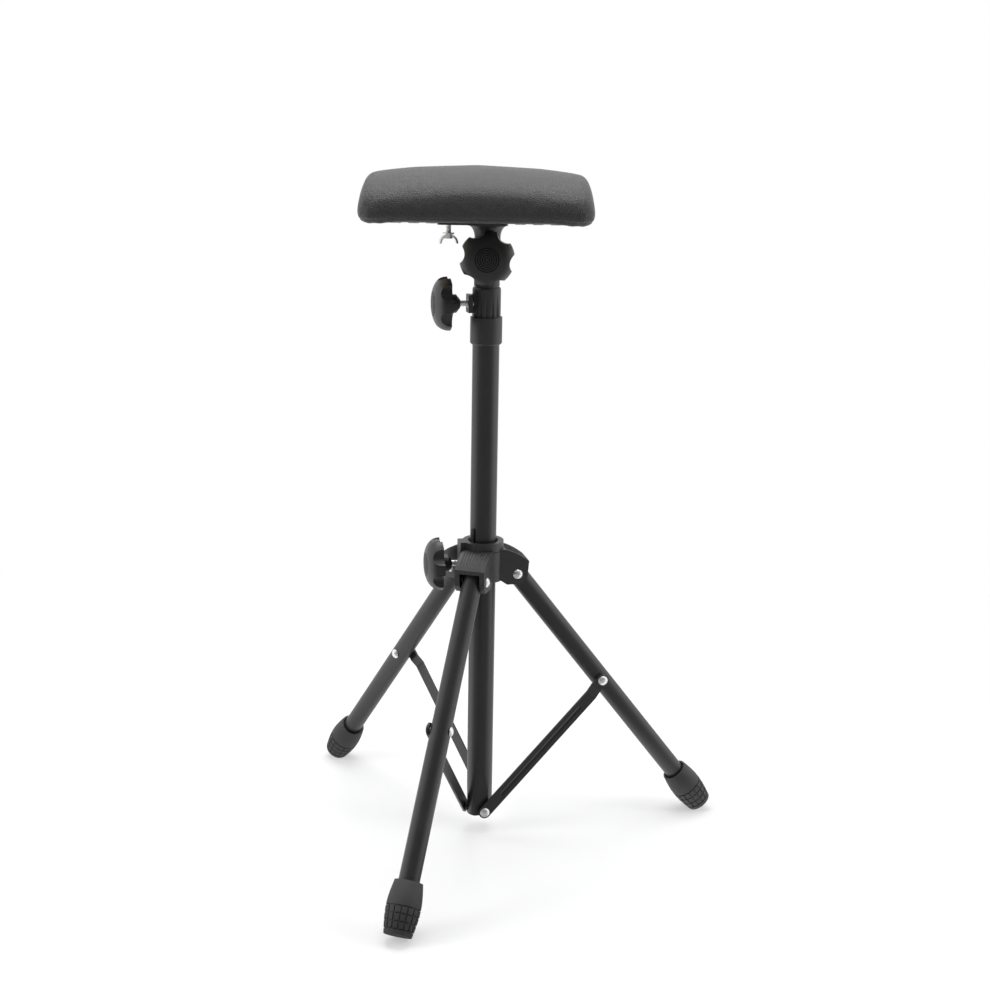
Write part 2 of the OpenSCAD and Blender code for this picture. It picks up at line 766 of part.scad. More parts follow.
// A star knob: the end of its stem is at the origin and its domed face points along +Z
module star_knob(bore_r, bore_depth) {
    difference() {
        union() {
            translate([0, 0, knob_stem_h]) difference() {
                knob_star(knob_r, knob_cap_h, 0);
                translate([0, 0, -seat]) knob_star(knob_r - knob_wall, knob_cap_h - knob_wall, knob_wall);
                for (i = [0:knob_rings - 1]) {
                    translate([0, 0, cap_h(knob_ring_pitch * (i + 1), knob_r, knob_cap_h) - knob_ring_depth])
                        ring(knob_ring_pitch * (i + 1) + knob_ring_w / 2,
                            knob_ring_pitch * (i + 1) - knob_ring_w / 2, knob_cap_h);
                }
            }
            cylinder(r1 = knob_tip_r, r2 = knob_stem_d / 2, h = knob_cone_h);
            translate([0, 0, knob_cone_h])
                cylinder(r = knob_stem_d / 2, h = knob_h - knob_cone_h - knob_wall / 2);
        }
        translate([0, 0, -cut]) cylinder(r = bore_r + seat, h = bore_depth + cut);
    }
}

module hub_knob() {
    color([0.09, 0.09, 0.09]) on_screw(hub_screw_h) translate([0, 0, hub_knob_r])
        rotate([0, 0, 30]) star_knob(screw_r, screw_in_knob + seat);
}

// Collar on the column's top: a plain sleeve below, a fluted nose that guides the post above
module top_collar() {
    sleeve_top = column_top_h;
    color([0.12, 0.12, 0.12]) difference() {
        union() {
            rotate_extrude() polygon([
                [0, collar_bottom_h], [collar_sleeve_r - collar_edge, collar_bottom_h],
                [collar_sleeve_r, collar_bottom_h + collar_edge], [collar_sleeve_r, sleeve_top],
                [collar_nose_r, sleeve_top], [collar_nose_r, collar_top_h - collar_edge],
                [collar_nose_r - collar_edge / 2, collar_top_h], [0, collar_top_h]
            ]);
            towards(knob_turn) translate([0, -collar_boss_w / 2, collar_screw_h - collar_boss_h / 2])
                cube([collar_boss_r, collar_boss_w, collar_boss_h]);
        }
        translate([0, 0, collar_bottom_h - cut]) cylinder(r = column_r + seat, h = collar_sleeve_h + cut);
        translate([0, 0, collar_bottom_h]) cylinder(r = collar_bore_r, h = collar_top_h - collar_bottom_h + cut);
        on_screw(collar_screw_h) cylinder(r = insert_out_r + seat, h = collar_boss_r + cut);
        flute_h = collar_nose_h - flute_foot - flute_top_gap;
        for (i = [1:collar_flutes - 1]) {
            if (abs(i - collar_flutes / 2) < collar_flutes / 2 - 0.5)
                towards(knob_turn + 360 * i / collar_flutes)
                    translate([collar_nose_r - flute_depth, 0, sleeve_top + flute_foot])
                    rotate([0, atan(flute_depth / flute_h), 0])
                    linear_extrude(collar_nose_h) polygon([
                        [0, 0], [2 * flute_depth, -2 * flute_half_w], [2 * flute_depth, 2 * flute_half_w]
                    ]);
        }
    }
}

module collar_insert() {
    color([0.75, 0.6, 0.3]) on_screw(collar_screw_h) difference() {
        ring(insert_out_r, screw_r + pin_gap, collar_boss_r - insert_inset);
        rotate([0, -90, 0]) translate([0, 0, -collar_boss_h])
            cylinder(r = collar_bore_r + insert_inset, h = 2 * collar_boss_h);
    }
}

module collar_tip() {
    color([0.85, 0.85, 0.82]) on_screw(collar_screw_h) translate([0, 0, post_r + slide_gap])
        cylinder(r = tip_r, h = tip_t);
}

module collar_screw() {
    start = post_r + slide_gap + tip_t + seat;
    color([0.82, 0.82, 0.84]) on_screw(collar_screw_h) translate([0, 0, start])
        cylinder(r = screw_r, h = collar_knob_r + screw_in_knob - start);
}

module collar_knob() {
    color([0.09, 0.09, 0.09]) on_screw(collar_screw_h) translate([0, 0, collar_knob_r])
        rotate([0, 0, 30]) star_knob(screw_r, screw_in_knob + seat);
}

// Plastic glide that the post turns in, carried at the post's lower end
module post_glide() {
    lip_r = column_bore_r - glide_gap;
    color([0.8, 0.8, 0.78]) {
        translate([0, 0, post_bottom_h - glide_lip]) ring(lip_r, post_bore_r / 2, glide_lip - slide_gap);
        translate([0, 0, post_bottom_h - glide_lip])
            ring(post_bore_r - pin_gap, post_bore_r / 2, glide_len + glide_lip);
    }
}

module post_tube() {
    color([0.15, 0.15, 0.16]) difference() {
        translate([0, 0, post_bottom_h]) ring(post_r, post_bore_r, post_len);
        translate([-post_r - cut, 0, post_top_h - post_pin_drop]) rotate([0, 90, 0])
            cylinder(r = post_pin_r + seat, h = 2 * (post_r + cut));
    }
}

// Roll pin that holds the lower head in the post
module post_pin() {
    pin_len = 2 * (post_bore_r + post_wall / 2);
    color([0.7, 0.7, 0.72]) translate([-pin_len / 2, 0, post_top_h - post_pin_drop]) rotate([0, 90, 0])
        cylinder(r = post_pin_r, h = pin_len);
}

// Lower half of the tilt joint: spigot, round neck and a flat ear
module lower_head() {
    color([0.1, 0.1, 0.1]) difference() {
        union() {
            translate([0, 0, post_top_h - spigot_len])
                cylinder(r = post_bore_r - seat, h = spigot_len + neck_groove);
            translate([0, 0, post_top_h]) cylinder(r = post_r, h = neck_groove);
            translate([0, 0, post_top_h + neck_groove])
                cylinder(r = neck_r, h = neck_top_h - post_top_h - neck_groove);
            on_tilt() translate([0, 0, -ear_t / 2]) cylinder(r = ear_r, h = ear_t);
            translate([-neck_r, -ear_t / 2, neck_top_h - cut])
                cube([neck_d, ear_t, tilt_h - neck_top_h + cut]);
        }
        on_tilt() translate([0, 0, -ear_t]) cylinder(r = tilt_bolt_r + pin_gap, h = 2 * ear_t);
        translate([-post_r, 0, post_top_h - post_pin_drop]) rotate([0, 90, 0])
            cylinder(r = post_pin_r + seat, h = 2 * post_r);
    }
}

// Upper half of the tilt joint: a fork around the ear, a neck and a flare under the plate
module upper_head() {
    color([0.1, 0.1, 0.1]) difference() {
        union() {
            for (side = [-1, 1]) {
                translate([0, (side < 0 ? -fork_in : fork_out), tilt_h]) rotate([90, 0, 0]) {
                    cylinder(r = ear_r, h = fork_t);
                    translate([-neck_r, 0, 0]) cube([neck_d, flare_foot_h - tilt_h, fork_t]);
                }
            }
            intersection() {
                translate([0, 0, tilt_h]) cylinder(r = neck_r, h = flare_foot_h - tilt_h);
                translate([-neck_r, -neck_r, tilt_h + ear_r / 2]) cube([neck_d, neck_d, flare_foot_h]);
            }
            translate([0, 0, flare_foot_h]) rotate_extrude() polygon(concat(
                [[0, 0]],
                [for (i = [0:flare_steps])
                    let (turn = 90 * i / flare_steps)
                    [flare_r - (flare_r - neck_r) * cos(turn), flare_h * sin(turn)]],
                [[flare_r, flare_h + flare_rim], [0, flare_h + flare_rim]]
            ));
        }
        on_tilt() translate([0, 0, -fork_in]) cylinder(r = web_r, h = 2 * fork_in);
        on_tilt() translate([0, 0, -neck_d]) cylinder(r = tilt_bolt_r + seat, h = 2 * neck_d);
        // Flat seats for the washer in front and for the bolt's head behind
        on_tilt() translate([0, 0, fork_out]) cylinder(r = washer_r + pass_gap, h = neck_r);
        on_tilt() translate([0, 0, -fork_out - neck_r]) cylinder(r = washer_r + pass_gap, h = neck_r);
        for (x = [-1, 1], y = [-1, 1]) {
            translate([x * head_screw_x, y * head_screw_y, plate_h - head_screw_len])
                cylinder(r = head_screw_r + seat, h = head_screw_len + cut);
        }
    }
}

module tilt_bolt() {
    color([0.8, 0.8, 0.82]) on_tilt() {
        translate([0, 0, -fork_out]) cylinder(r = tilt_bolt_r, h = fork_out + tilt_knob_y + tilt_bolt_in_knob);
        translate([0, 0, -fork_out]) rotate([180, 0, 0]) dome(bolt_head_r, bolt_head_h);
    }
}

module tilt_washer() {
    color([0.75, 0.75, 0.77]) on_tilt() translate([0, 0, fork_out + slide_gap])
        ring(washer_r, tilt_bolt_r + pin_gap, washer_t);
}

// Hexagon nut pressed into the tilt knob's stem
module tilt_nut() {
    color([0.7, 0.7, 0.72]) on_tilt() translate([0, 0, tilt_knob_y + seat]) difference() {
        cylinder(r = nut_w / sqrt(3), h = nut_t, $fn = 6);
        translate([0, 0, -cut]) cylinder(r = tilt_bolt_r + pin_gap, h = nut_t + 2 * cut);
    }
}

module tilt_knob() {
    color([0.09, 0.09, 0.09]) on_tilt() translate([0, 0, tilt_knob_y]) difference() {
        rotate([0, 0, 22]) star_knob(tilt_bolt_r + pin_gap, tilt_bolt_in_knob + washer_t);
        translate([0, 0, -cut]) cylinder(r = nut_w / sqrt(3) + seat, h = nut_t + cut + 2 * seat, $fn = 6);
    }
}

// Countersunk screws that hold the plate on the flared head
module head_screws() {
    head_h = head_screw_head_r - head_screw_r;
    color([0.75, 0.75, 0.77]) for (x = [-1, 1], y = [-1, 1]) {
        translate([x * head_screw_x, y * head_screw_y, plate_top_h]) {
            translate([0, 0, -head_h]) cylinder(r1 = head_screw_r, r2 = head_screw_head_r, h = head_h);
            translate([0, 0, -head_screw_len]) cylinder(r = head_screw_r, h = head_screw_len);
        }
    }
}

// Places of the four wood screws in the plate
plate_screw_places = [
    for (x = [plate_screw_in_x - plate_long, plate_short - plate_screw_in_x], y = [-1, 1])
        [x, y * plate_screw_y]
];

module mounting_plate() {
    head_h = head_screw_head_r - head_screw_r;
    color([0.13, 0.13, 0.14]) difference() {
        translate([0, 0, plate_h]) rounded_plate(-plate_long, plate_short, plate_depth, plate_corner_r, plate_t);
        for (x = [-1, 1], y = [-1, 1]) {
            translate([x * head_screw_x, y * head_screw_y, 0]) {
                translate([0, 0, plate_h - cut]) cylinder(r = head_screw_r + seat, h = plate_t + 2 * cut);
                translate([0, 0, plate_top_h - head_h])
                    cylinder(r1 = head_screw_r + seat, r2 = head_screw_head_r + seat, h = head_h);
            }
        }
        for (place = plate_screw_places) {
            translate([place[0], place[1], plate_h - cut])
                cylinder(r = wood_screw_r + seat, h = plate_t + 2 * cut);
            translate([place[0], place[1], plate_h])
                cylinder(r1 = wood_head_r + seat, r2 = wood_screw_r + seat, h = wood_head_h);
        }
        translate([-wing_bolt_out, 0, plate_h - cut]) cylinder(r = wing_bolt_r + seat, h = plate_t + 2 * cut);
    }
}

// Countersunk wood screws that hold the plate on the board
module plate_screws() {
    color([0.78, 0.78, 0.8]) for (place = plate_screw_places) {
        translate([place[0], place[1], plate_h]) {
            cylinder(r = wood_screw_r, h = plate_t + wood_screw_in);
            cylinder(r1 = wood_head_r, r2 = wood_screw_r, h = wood_head_h);
        }
    }
}

module pad_board() {
    half_len = pad_len / 2 - board_margin;
    color([0.72, 0.58, 0.4]) difference() {
        translate([pad_shift, 0, plate_top_h])
            rounded_plate(-half_len, half_len, pad_depth - 2 * board_margin, board_corner_r, board_t);
        for (place = plate_screw_places) {
            translate([place[0], place[1], plate_top_h - cut])
                cylinder(r = wood_screw_r + seat, h = wood_screw_in + cut + seat);
        }
        translate([-wing_bolt_out, 0, plate_top_h - cut]) {
            cylinder(r = wing_bolt_r + seat, h = board_t + 2 * cut);
            translate([0, 0, board_t + cut - pad_bolt_head_h]) cylinder(r = pad_bolt_head_r + seat, h = board_t);
        }
    }
}

// Bolt with a broad head in the board; the wing nut runs on its lower end
module pad_bolt() {
    bolt_end_h = wing_top_h - wing_collar_h;
    color([0.8, 0.8, 0.82]) translate([-wing_bolt_out, 0, 0]) {
        translate([0, 0, bolt_end_h]) cylinder(r = wing_bolt_r, h = plate_top_h + board_t - bolt_end_h);
        translate([0, 0, plate_top_h + board_t - pad_bolt_head_h]) cylinder(r = pad_bolt_head_r, h = pad_bolt_head_h);
    }
}

module wing_washer() {
    color([0.8, 0.8, 0.82]) translate([-wing_bolt_out, 0, wing_top_h + seat])
        ring(wing_washer_r, wing_bolt_r + pin_gap, wing_washer_t);
}

// Pressed wing nut: a collar and a strap arched over it, both wings hanging down
module wing_nut() {
    color([0.84, 0.84, 0.85]) translate([-wing_bolt_out, 0, wing_top_h]) rotate([0, 0, wing_turn]) difference() {
        union() {
            intersection() {
                translate([0, wing_w / 2, -wing_r]) rotate([90, 0, 0]) ring(wing_r, wing_r - wing_t, wing_w);
                translate([-wing_r, -wing_w / 2, -wing_r]) cube([wing_span, wing_w, wing_r]);
            }
            translate([0, 0, -wing_collar_h]) cylinder(r = wing_collar_r, h = wing_collar_h);
        }
        translate([0, 0, -wing_span]) cylinder(r = wing_bolt_r + pin_gap, h = 2 * wing_span);
    }
}

// Plan of the cushion: a rounded rectangle, drawn in a little between its corners
function pad_plan(turn, end_inset, side_inset) = let (
    a = pad_len / 2 - end_inset,
    b = pad_depth / 2 - side_inset,
    power = pad_soft,
    r = 1 / pow(pow(abs(cos(turn)) / a, power) + pow(abs(sin(turn)) / b, power), 1 / power),
    draw = pad_draw_in * pow(sin(2 * turn), 4),
    drawn_y = (1 - pow(abs(cos(turn)), 2)) * sign(sin(turn)) * (pad_draw_in - draw)
) [r * cos(turn) * (1 - pad_draw_in / a), r * sin(turn) - drawn_y];

// Height of the cushion's skin over its plan: the crown falls away to the ends and to the sides
function pad_skin_h(p, share) = pad_bottom_h + pad_h * share * (1
    - pad_end_drop_share * pow(p[0] / (pad_len / 2), 2)
    - pad_side_drop_share * pow(p[1] / (pad_depth / 2), 2));

module cushion_shape() {
    levels = len(pad_stations);
    rings = [for (level = pad_stations) [
        for (i = [0:pad_fn - 1])
            let (p = pad_plan(360 * i / pad_fn, level[0], level[1]))
            [p[0], p[1], pad_skin_h(p, level[2])]
    ]];
    points = concat(
        [for (level_ring = rings) for (p = level_ring) p],
        [[0, 0, pad_bottom_h], [0, 0, pad_bottom_h + pad_h]]
    );
    last = (levels - 1) * pad_fn;
    polyhedron(points = points, faces = concat(
        [for (k = [0:levels - 2], i = [0:pad_fn - 1])
            let (j = (i + 1) % pad_fn) [k * pad_fn + i, (k + 1) * pad_fn + i, (k + 1) * pad_fn + j]],
        [for (k = [0:levels - 2], i = [0:pad_fn - 1])
            let (j = (i + 1) % pad_fn) [k * pad_fn + i, (k + 1) * pad_fn + j, k * pad_fn + j]],
        [for (i = [0:pad_fn - 1]) [i, (i + 1) % pad_fn, levels * pad_fn]],
        [for (i = [0:pad_fn - 1]) [last + (i + 1) % pad_fn, last + i, levels * pad_fn + 1]]
    ), convexity = 4);
}

module pad_cushion() {
    half_len = pad_len / 2 - board_margin + board_hole_gap;
    color([0.3, 0.3, 0.31]) difference() {
        translate([pad_shift, 0, 0]) cushion_shape();
        translate([pad_shift, 0, plate_top_h - cut])
            rounded_plate(-half_len, half_len, pad_depth - 2 * board_margin + 2 * board_hole_gap,
                board_corner_r, board_t + cut + board_hole_gap, $fn = pocket_fn);
    }
}

column_tube();
brace_foot_rivets();
brace_foot_spacers();
top_collar();
collar_insert();
collar_tip();
collar_screw();
collar_knob();
post_glide();
post_tube();
post_pin();
lower_head();
upper_head();
tilt_bolt();
tilt_washer();
tilt_nut();
tilt_knob();
head_screws();
mounting_plate();
plate_screws();
pad_board();
pad_bolt();
pad_cushion();
wing_washer();
wing_nut();
hub_body();
hub_liner();
hub_insert();
hub_tip();
hub_screw();
hub_knob();
leg_pins();
leg_tube_right();
leg_tube_front();
leg_tube_left();
foot_right();
foot_front();
foot_left();
brace_right();
brace_front();
brace_left();
brace_rivet_right();
brace_rivet_front();
brace_rivet_left();
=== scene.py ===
import json
import math

import bmesh
import bpy
from mathutils import Matrix, Vector


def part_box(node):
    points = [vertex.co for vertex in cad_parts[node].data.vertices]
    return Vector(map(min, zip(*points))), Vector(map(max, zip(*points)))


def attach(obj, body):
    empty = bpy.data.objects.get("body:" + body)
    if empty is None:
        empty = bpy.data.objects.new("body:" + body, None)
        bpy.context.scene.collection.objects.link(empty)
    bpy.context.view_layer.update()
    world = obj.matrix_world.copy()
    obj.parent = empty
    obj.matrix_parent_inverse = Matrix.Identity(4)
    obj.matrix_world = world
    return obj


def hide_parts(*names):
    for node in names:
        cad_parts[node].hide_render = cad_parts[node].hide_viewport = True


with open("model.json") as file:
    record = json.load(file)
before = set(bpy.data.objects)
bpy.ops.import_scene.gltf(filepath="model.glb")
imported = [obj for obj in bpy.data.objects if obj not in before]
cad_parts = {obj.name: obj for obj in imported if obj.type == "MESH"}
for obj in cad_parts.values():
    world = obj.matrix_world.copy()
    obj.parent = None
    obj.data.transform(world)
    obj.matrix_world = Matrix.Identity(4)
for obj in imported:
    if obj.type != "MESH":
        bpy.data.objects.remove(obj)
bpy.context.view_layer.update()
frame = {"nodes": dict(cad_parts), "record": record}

MM = 0.001


# Directions that part.scad gives, in degrees

LEG_TURNS = {"right": 13.0, "front": -107.0, "left": 133.0}
KNOB_TURN = 193.0
FRONT_TURN = -90.0


def middle_of(node):
    """The middle of a CAD node's box."""
    low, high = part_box(node)
    return (low + high) / 2


TILT_HEIGHT = middle_of("tilt_washer").z
HUB_SCREW_HEIGHT = middle_of("hub_screw").z
COLLAR_SCREW_HEIGHT = middle_of("collar_screw").z


def direction(turn):
    """Unit vector that points away from the column, at a turn seen from above."""
    return Vector((math.cos(math.radians(turn)), math.sin(math.radians(turn)), 0))


def length_of(node, axis):
    """A CAD node's length along a direction, as its lowest and highest reach."""
    reaches = [Vector(v.co).dot(axis) for v in frame["nodes"][node].data.vertices]
    return min(reaches), max(reaches)


# Node trees


def add(tree, kind, sockets=None, **settings):
    """A node with its settings; a socket's value may be another node's output."""
    made = tree.nodes.new(kind)
    for name, value in settings.items():
        setattr(made, name, value)
    for name, value in (sockets or {}).items():
        if isinstance(value, bpy.types.NodeSocket):
            tree.links.new(value, made.inputs[name])
        else:
            made.inputs[name].default_value = value
    return made


def sums(tree, operation, a, b=0.0, clamp=False):
    """A Math node's output."""
    return add(tree, "ShaderNodeMath", {0: a, 1: b}, operation=operation, use_clamp=clamp).outputs[0]


def effect(name, inputs, outputs):
    """An empty shader node group with named float inputs and outputs."""
    tree = bpy.data.node_groups.new(name, "ShaderNodeTree")
    for label, value in inputs.items():
        socket = tree.interface.new_socket(label, in_out="INPUT", socket_type="NodeSocketFloat")
        socket.default_value = value
    for label in outputs:
        tree.interface.new_socket(label, in_out="OUTPUT", socket_type="NodeSocketFloat")
    return tree, tree.nodes.new("NodeGroupInput"), tree.nodes.new("NodeGroupOutput")


def fine_grain():
    """Small bumps of paint and moulded plastic, and the slow mottle under them."""
    tree, given, out = effect(
        "fine_grain", {"Grain Size mm": 0.5, "Mottle Size mm": 30.0}, ["Height", "Mottle"])
    place = add(tree, "ShaderNodeTexCoord").outputs["Object"]
    for label, detail, result in (("Grain Size mm", 2.0, "Height"), ("Mottle Size mm", 3.0, "Mottle")):
        scale = sums(tree, "DIVIDE", 1000.0, given.outputs[label])
        field = add(tree, "ShaderNodeTexNoise", {"Vector": place, "Scale": scale, "Detail": detail})
        tree.links.new(field.outputs["Fac"], out.inputs[result])
    return tree


def edge_wear():
    """A mask of the edges that hands and floors rub, broken up by noise."""
    tree, given, out = effect(
        "edge_wear", {"Width mm": 0.5, "Amount": 0.5, "Patch Size mm": 9.0}, ["Mask"])
    place = add(tree, "ShaderNodeTexCoord").outputs["Object"]
    radius = sums(tree, "MULTIPLY", given.outputs["Width mm"], MM)
    rounded = add(tree, "ShaderNodeBevel", {"Radius": radius}, samples=4).outputs["Normal"]
    flat = add(tree, "ShaderNodeNewGeometry").outputs["Normal"]
    same = add(
        tree, "ShaderNodeVectorMath", {0: rounded, 1: flat}, operation="DOT_PRODUCT").outputs["Value"]
    edge = sums(tree, "MULTIPLY", sums(tree, "SUBTRACT", 1.0, same), 5.0, clamp=True)
    scale = sums(tree, "DIVIDE", 1000.0, given.outputs["Patch Size mm"])
    patch = add(
        tree, "ShaderNodeTexNoise", {"Vector": place, "Scale": scale, "Detail": 4.0}).outputs["Fac"]
    worn = sums(tree, "MULTIPLY", sums(tree, "SUBTRACT", patch, 0.42), 6.0, clamp=True)
    mask = sums(
        tree, "MULTIPLY", sums(tree, "MULTIPLY", edge, worn), given.outputs["Amount"], clamp=True)
    tree.links.new(mask, out.inputs["Mask"])
    return tree


def settled_dust():
    """A thin mask of dust on faces that look up."""
    tree, given, out = effect("settled_dust", {"Amount": 0.1, "Patch Size mm": 25.0}, ["Mask"])
    where = add(tree, "ShaderNodeTexCoord")
    up = add(tree, "ShaderNodeSeparateXYZ", {0: where.outputs["Normal"]}).outputs["Z"]
    scale = sums(tree, "DIVIDE", 1000.0, given.outputs["Patch Size mm"])
    patch = add(
        tree, "ShaderNodeTexNoise", {"Vector": where.outputs["Object"], "Scale": scale, "Detail": 5.0})
    top = sums(tree, "POWER", sums(tree, "MAXIMUM", up, 0.0), 2.0)
    mask = sums(
        tree, "MULTIPLY", sums(tree, "MULTIPLY", top, patch.outputs["Fac"]), given.outputs["Amount"],
        clamp=True)
    tree.links.new(mask, out.inputs["Mask"])
    return tree


def hairlines():
    """Fine scratches of handled metal."""
    tree, given, out = effect("hairlines", {"Spacing mm": 0.6, "Amount": 0.5}, ["Height", "Mask"])
    place = add(tree, "ShaderNodeTexCoord").outputs["Object"]
    scale = sums(tree, "DIVIDE", 1000.0, given.outputs["Spacing mm"])
    stretched = add(
        tree, "ShaderNodeMapping",
        {"Vector": place, "Rotation": (0.4, 0.7, 0.2), "Scale": (1, 0.12, 0.5)})
    lines = add(
        tree, "ShaderNodeTexNoise", {"Vector": stretched.outputs[0], "Scale": scale, "Detail": 2.0})
    sharp = sums(tree, "MULTIPLY", sums(tree, "SUBTRACT", lines.outputs["Fac"], 0.55), 5.0, clamp=True)
    mask = sums(tree, "MULTIPLY", sharp, given.outputs["Amount"])
    tree.links.new(lines.outputs["Fac"], out.inputs["Height"])
    tree.links.new(mask, out.inputs["Mask"])
    return tree


def pebbled_hide():
    """Grain of imitation leather: small pebbles, the creases between them, and soft folds."""
    tree, given, out = effect(
        "pebbled_hide", {"Pebble Size mm": 1.7, "Fold Size mm": 12.0}, ["Height", "Crease", "Fold"])
    place = add(tree, "ShaderNodeTexCoord").outputs["Object"]
    scale = sums(tree, "DIVIDE", 1000.0, given.outputs["Pebble Size mm"])
    shake = add(
        tree, "ShaderNodeTexNoise",
        {"Vector": place, "Scale": sums(tree, "MULTIPLY", scale, 0.5), "Detail": 1.0})
    nudged = add(
        tree, "ShaderNodeVectorMath", {0: shake.outputs["Color"], 1: (0.0006,) * 3},
        operation="MULTIPLY")
    moved = add(
        tree, "ShaderNodeVectorMath", {0: place, 1: nudged.outputs[0]}, operation="ADD").outputs[0]
    cells = add(
        tree, "ShaderNodeTexVoronoi", {"Vector": moved, "Scale": scale}, feature="DISTANCE_TO_EDGE")
    crown = sums(tree, "POWER", sums(tree, "MULTIPLY", cells.outputs["Distance"], 2.6, clamp=True), 0.5)
    tree.links.new(crown, out.inputs["Height"])
    tree.links.new(sums(tree, "SUBTRACT", 1.0, crown, clamp=True), out.inputs["Crease"])
    fold_scale = sums(tree, "DIVIDE", 1000.0, given.outputs["Fold Size mm"])
    folds = add(tree, "ShaderNodeTexNoise", {"Vector": place, "Scale": fold_scale, "Detail": 3.0})
    tree.links.new(folds.outputs["Fac"], out.inputs["Fold"])
    return tree


def turned_rings():
    """Grooves around a knob's axis, which runs level through the column's middle: the mask where the knob
    finish paints shade.
    """
    tree, given, out = effect("turned_rings", {
        "Turn": 0.0, "Axis Height mm": 0.0, "Face From mm": 0.0,
        "Pitch mm": 2.1, "Width mm": 0.9, "Reach mm": 11.2}, ["Mask"])
    want = given.outputs
    place = add(tree, "ShaderNodeTexCoord").outputs["Object"]
    in_mm = add(
        tree, "ShaderNodeVectorMath", {0: place, 1: (1000.0,) * 3}, operation="MULTIPLY").outputs[0]
    x, y, z = add(tree, "ShaderNodeSeparateXYZ", {0: in_mm}).outputs
    c, s = sums(tree, "COSINE", want["Turn"]), sums(tree, "SINE", want["Turn"])
    across = sums(tree, "SUBTRACT", sums(tree, "MULTIPLY", x, s), sums(tree, "MULTIPLY", y, c))
    along = sums(tree, "ADD", sums(tree, "MULTIPLY", x, c), sums(tree, "MULTIPLY", y, s))
    up = sums(tree, "SUBTRACT", z, want["Axis Height mm"])
    radius = sums(tree, "SQRT", sums(tree, "ADD", sums(tree, "POWER", sums(tree, "ABSOLUTE", across), 2.0),
                                     sums(tree, "POWER", sums(tree, "ABSOLUTE", up), 2.0)))
    off = sums(tree, "PINGPONG", radius, sums(tree, "MULTIPLY", want["Pitch mm"], 0.5))
    groove_shade = sums(
        tree, "MULTIPLY", sums(tree, "SUBTRACT", sums(tree, "MULTIPLY", want["Width mm"], 0.55), off),
        8.0, clamp=True)
    field = sums(
        tree, "MULTIPLY", sums(tree, "GREATER_THAN", radius, 1.0),
        sums(tree, "LESS_THAN", radius, want["Reach mm"]))
    face = sums(tree, "GREATER_THAN", along, want["Face From mm"])
    mask = sums(tree, "MULTIPLY", groove_shade, sums(tree, "MULTIPLY", field, face))
    tree.links.new(mask, out.inputs["Mask"])
    return tree


GRAIN, WEAR, DUST, LINES, HIDE = fine_grain(), edge_wear(), settled_dust(), hairlines(), pebbled_hide()
RINGS = turned_rings()


def placed(tree, group, **values):
    """A node group placed in a material, with its own values."""
    made = add(tree, "ShaderNodeGroup", node_tree=group)
    for label, value in values.items():
        made.inputs[label.replace("_", " ")].default_value = value
    return made.outputs


def mixed(tree, factor, a, b):
    """A colour between a and b."""
    made = add(tree, "ShaderNodeMix", data_type="RGBA")
    for socket, value in ((0, factor), (6, a), (7, b)):
        if isinstance(value, bpy.types.NodeSocket):
            tree.links.new(value, made.inputs[socket])
        else:
            made.inputs[socket].default_value = value if socket == 0 else (*value, 1)
    return made.outputs[2]


def ranged(tree, value, low, high):
    """value from 0 to 1, spread from low to high."""
    return add(tree, "ShaderNodeMapRange", {"Value": value, "To Min": low, "To Max": high}).outputs[0]


def blank(name, **sockets):
    """A new material's tree and its Principled shader, with uniform values on the shader."""
    made = bpy.data.materials.new(name)
    made.use_nodes = True
    tree = made.node_tree
    shader = tree.nodes["Principled BSDF"]
    for label, value in sockets.items():
        shader.inputs[label.replace("_", " ")].default_value = value
    return made, tree, shader


def bumped(tree, shader, height, distance_mm, strength=1.0, below=None):
    """A Bump node in front of the shader's Normal, over another one if there is one."""
    made = add(
        tree, "ShaderNodeBump", {"Height": height, "Distance": distance_mm * MM, "Strength": strength})
    if below is not None:
        tree.links.new(below, made.inputs["Normal"])
    tree.links.new(made.outputs[0], shader.inputs["Normal"])
    return made.outputs[0]


def coated(
    name, colour, worn, rough, grain_mm, grain_depth_mm, wear=0.4, wear_mm=0.5, dust=0.06, rings=None,
    **sockets):
    """Black paint or moulded plastic: grain, mottle, rubbed edges, a little dust, and shade painted into
    grooves.
    """
    made, tree, shader = blank(name, **sockets)
    grain = placed(tree, GRAIN, Grain_Size_mm=grain_mm)
    rub = placed(tree, WEAR, Width_mm=wear_mm, Amount=wear)
    dusty = placed(tree, DUST, Amount=dust)
    base = mixed(
        tree, ranged(tree, grain["Mottle"], 0.0, 1.0), [c * 0.86 for c in colour],
        [c * 1.14 for c in colour])
    base = mixed(tree, rub["Mask"], base, worn)
    base = mixed(tree, dusty["Mask"], base, (0.40, 0.40, 0.39))
    if rings:
        # Painted shade in the knob's grooves: the colour drops to 0.3 of itself there, and Metallic 0.8
        # takes the gloss away.
        groove_shade = placed(tree, RINGS, **rings)["Mask"]
        base = mixed(tree, groove_shade, base, [c * 0.3 for c in colour])
        tree.links.new(sums(tree, "MULTIPLY", groove_shade, 0.8), shader.inputs["Metallic"])
    tree.links.new(base, shader.inputs["Base Color"])
    tree.links.new(
        ranged(tree, grain["Mottle"], rough - 0.05, rough + 0.05), shader.inputs["Roughness"])
    bumped(tree, shader, grain["Height"], grain_depth_mm, 0.6)
    return made


def plated(name, colour, low, high, spacing_mm=0.6):
    """Bright plated steel with fine handling scratches."""
    made, tree, shader = blank(name, Metallic=0.65)
    lines = placed(tree, LINES, Spacing_mm=spacing_mm)
    grain = placed(tree, GRAIN, Grain_Size_mm=1.5, Mottle_Size_mm=6.0)
    base = mixed(tree, lines["Mask"], colour, [c * 0.78 for c in colour])
    tree.links.new(
        mixed(tree, ranged(tree, grain["Mottle"], 0.0, 0.35), base, [c * 0.72 for c in colour]),
        shader.inputs["Base Color"])
    tree.links.new(ranged(tree, grain["Mottle"], low, high), shader.inputs["Roughness"])
    bumped(tree, shader, lines["Height"], 0.012, 0.5)
    return made


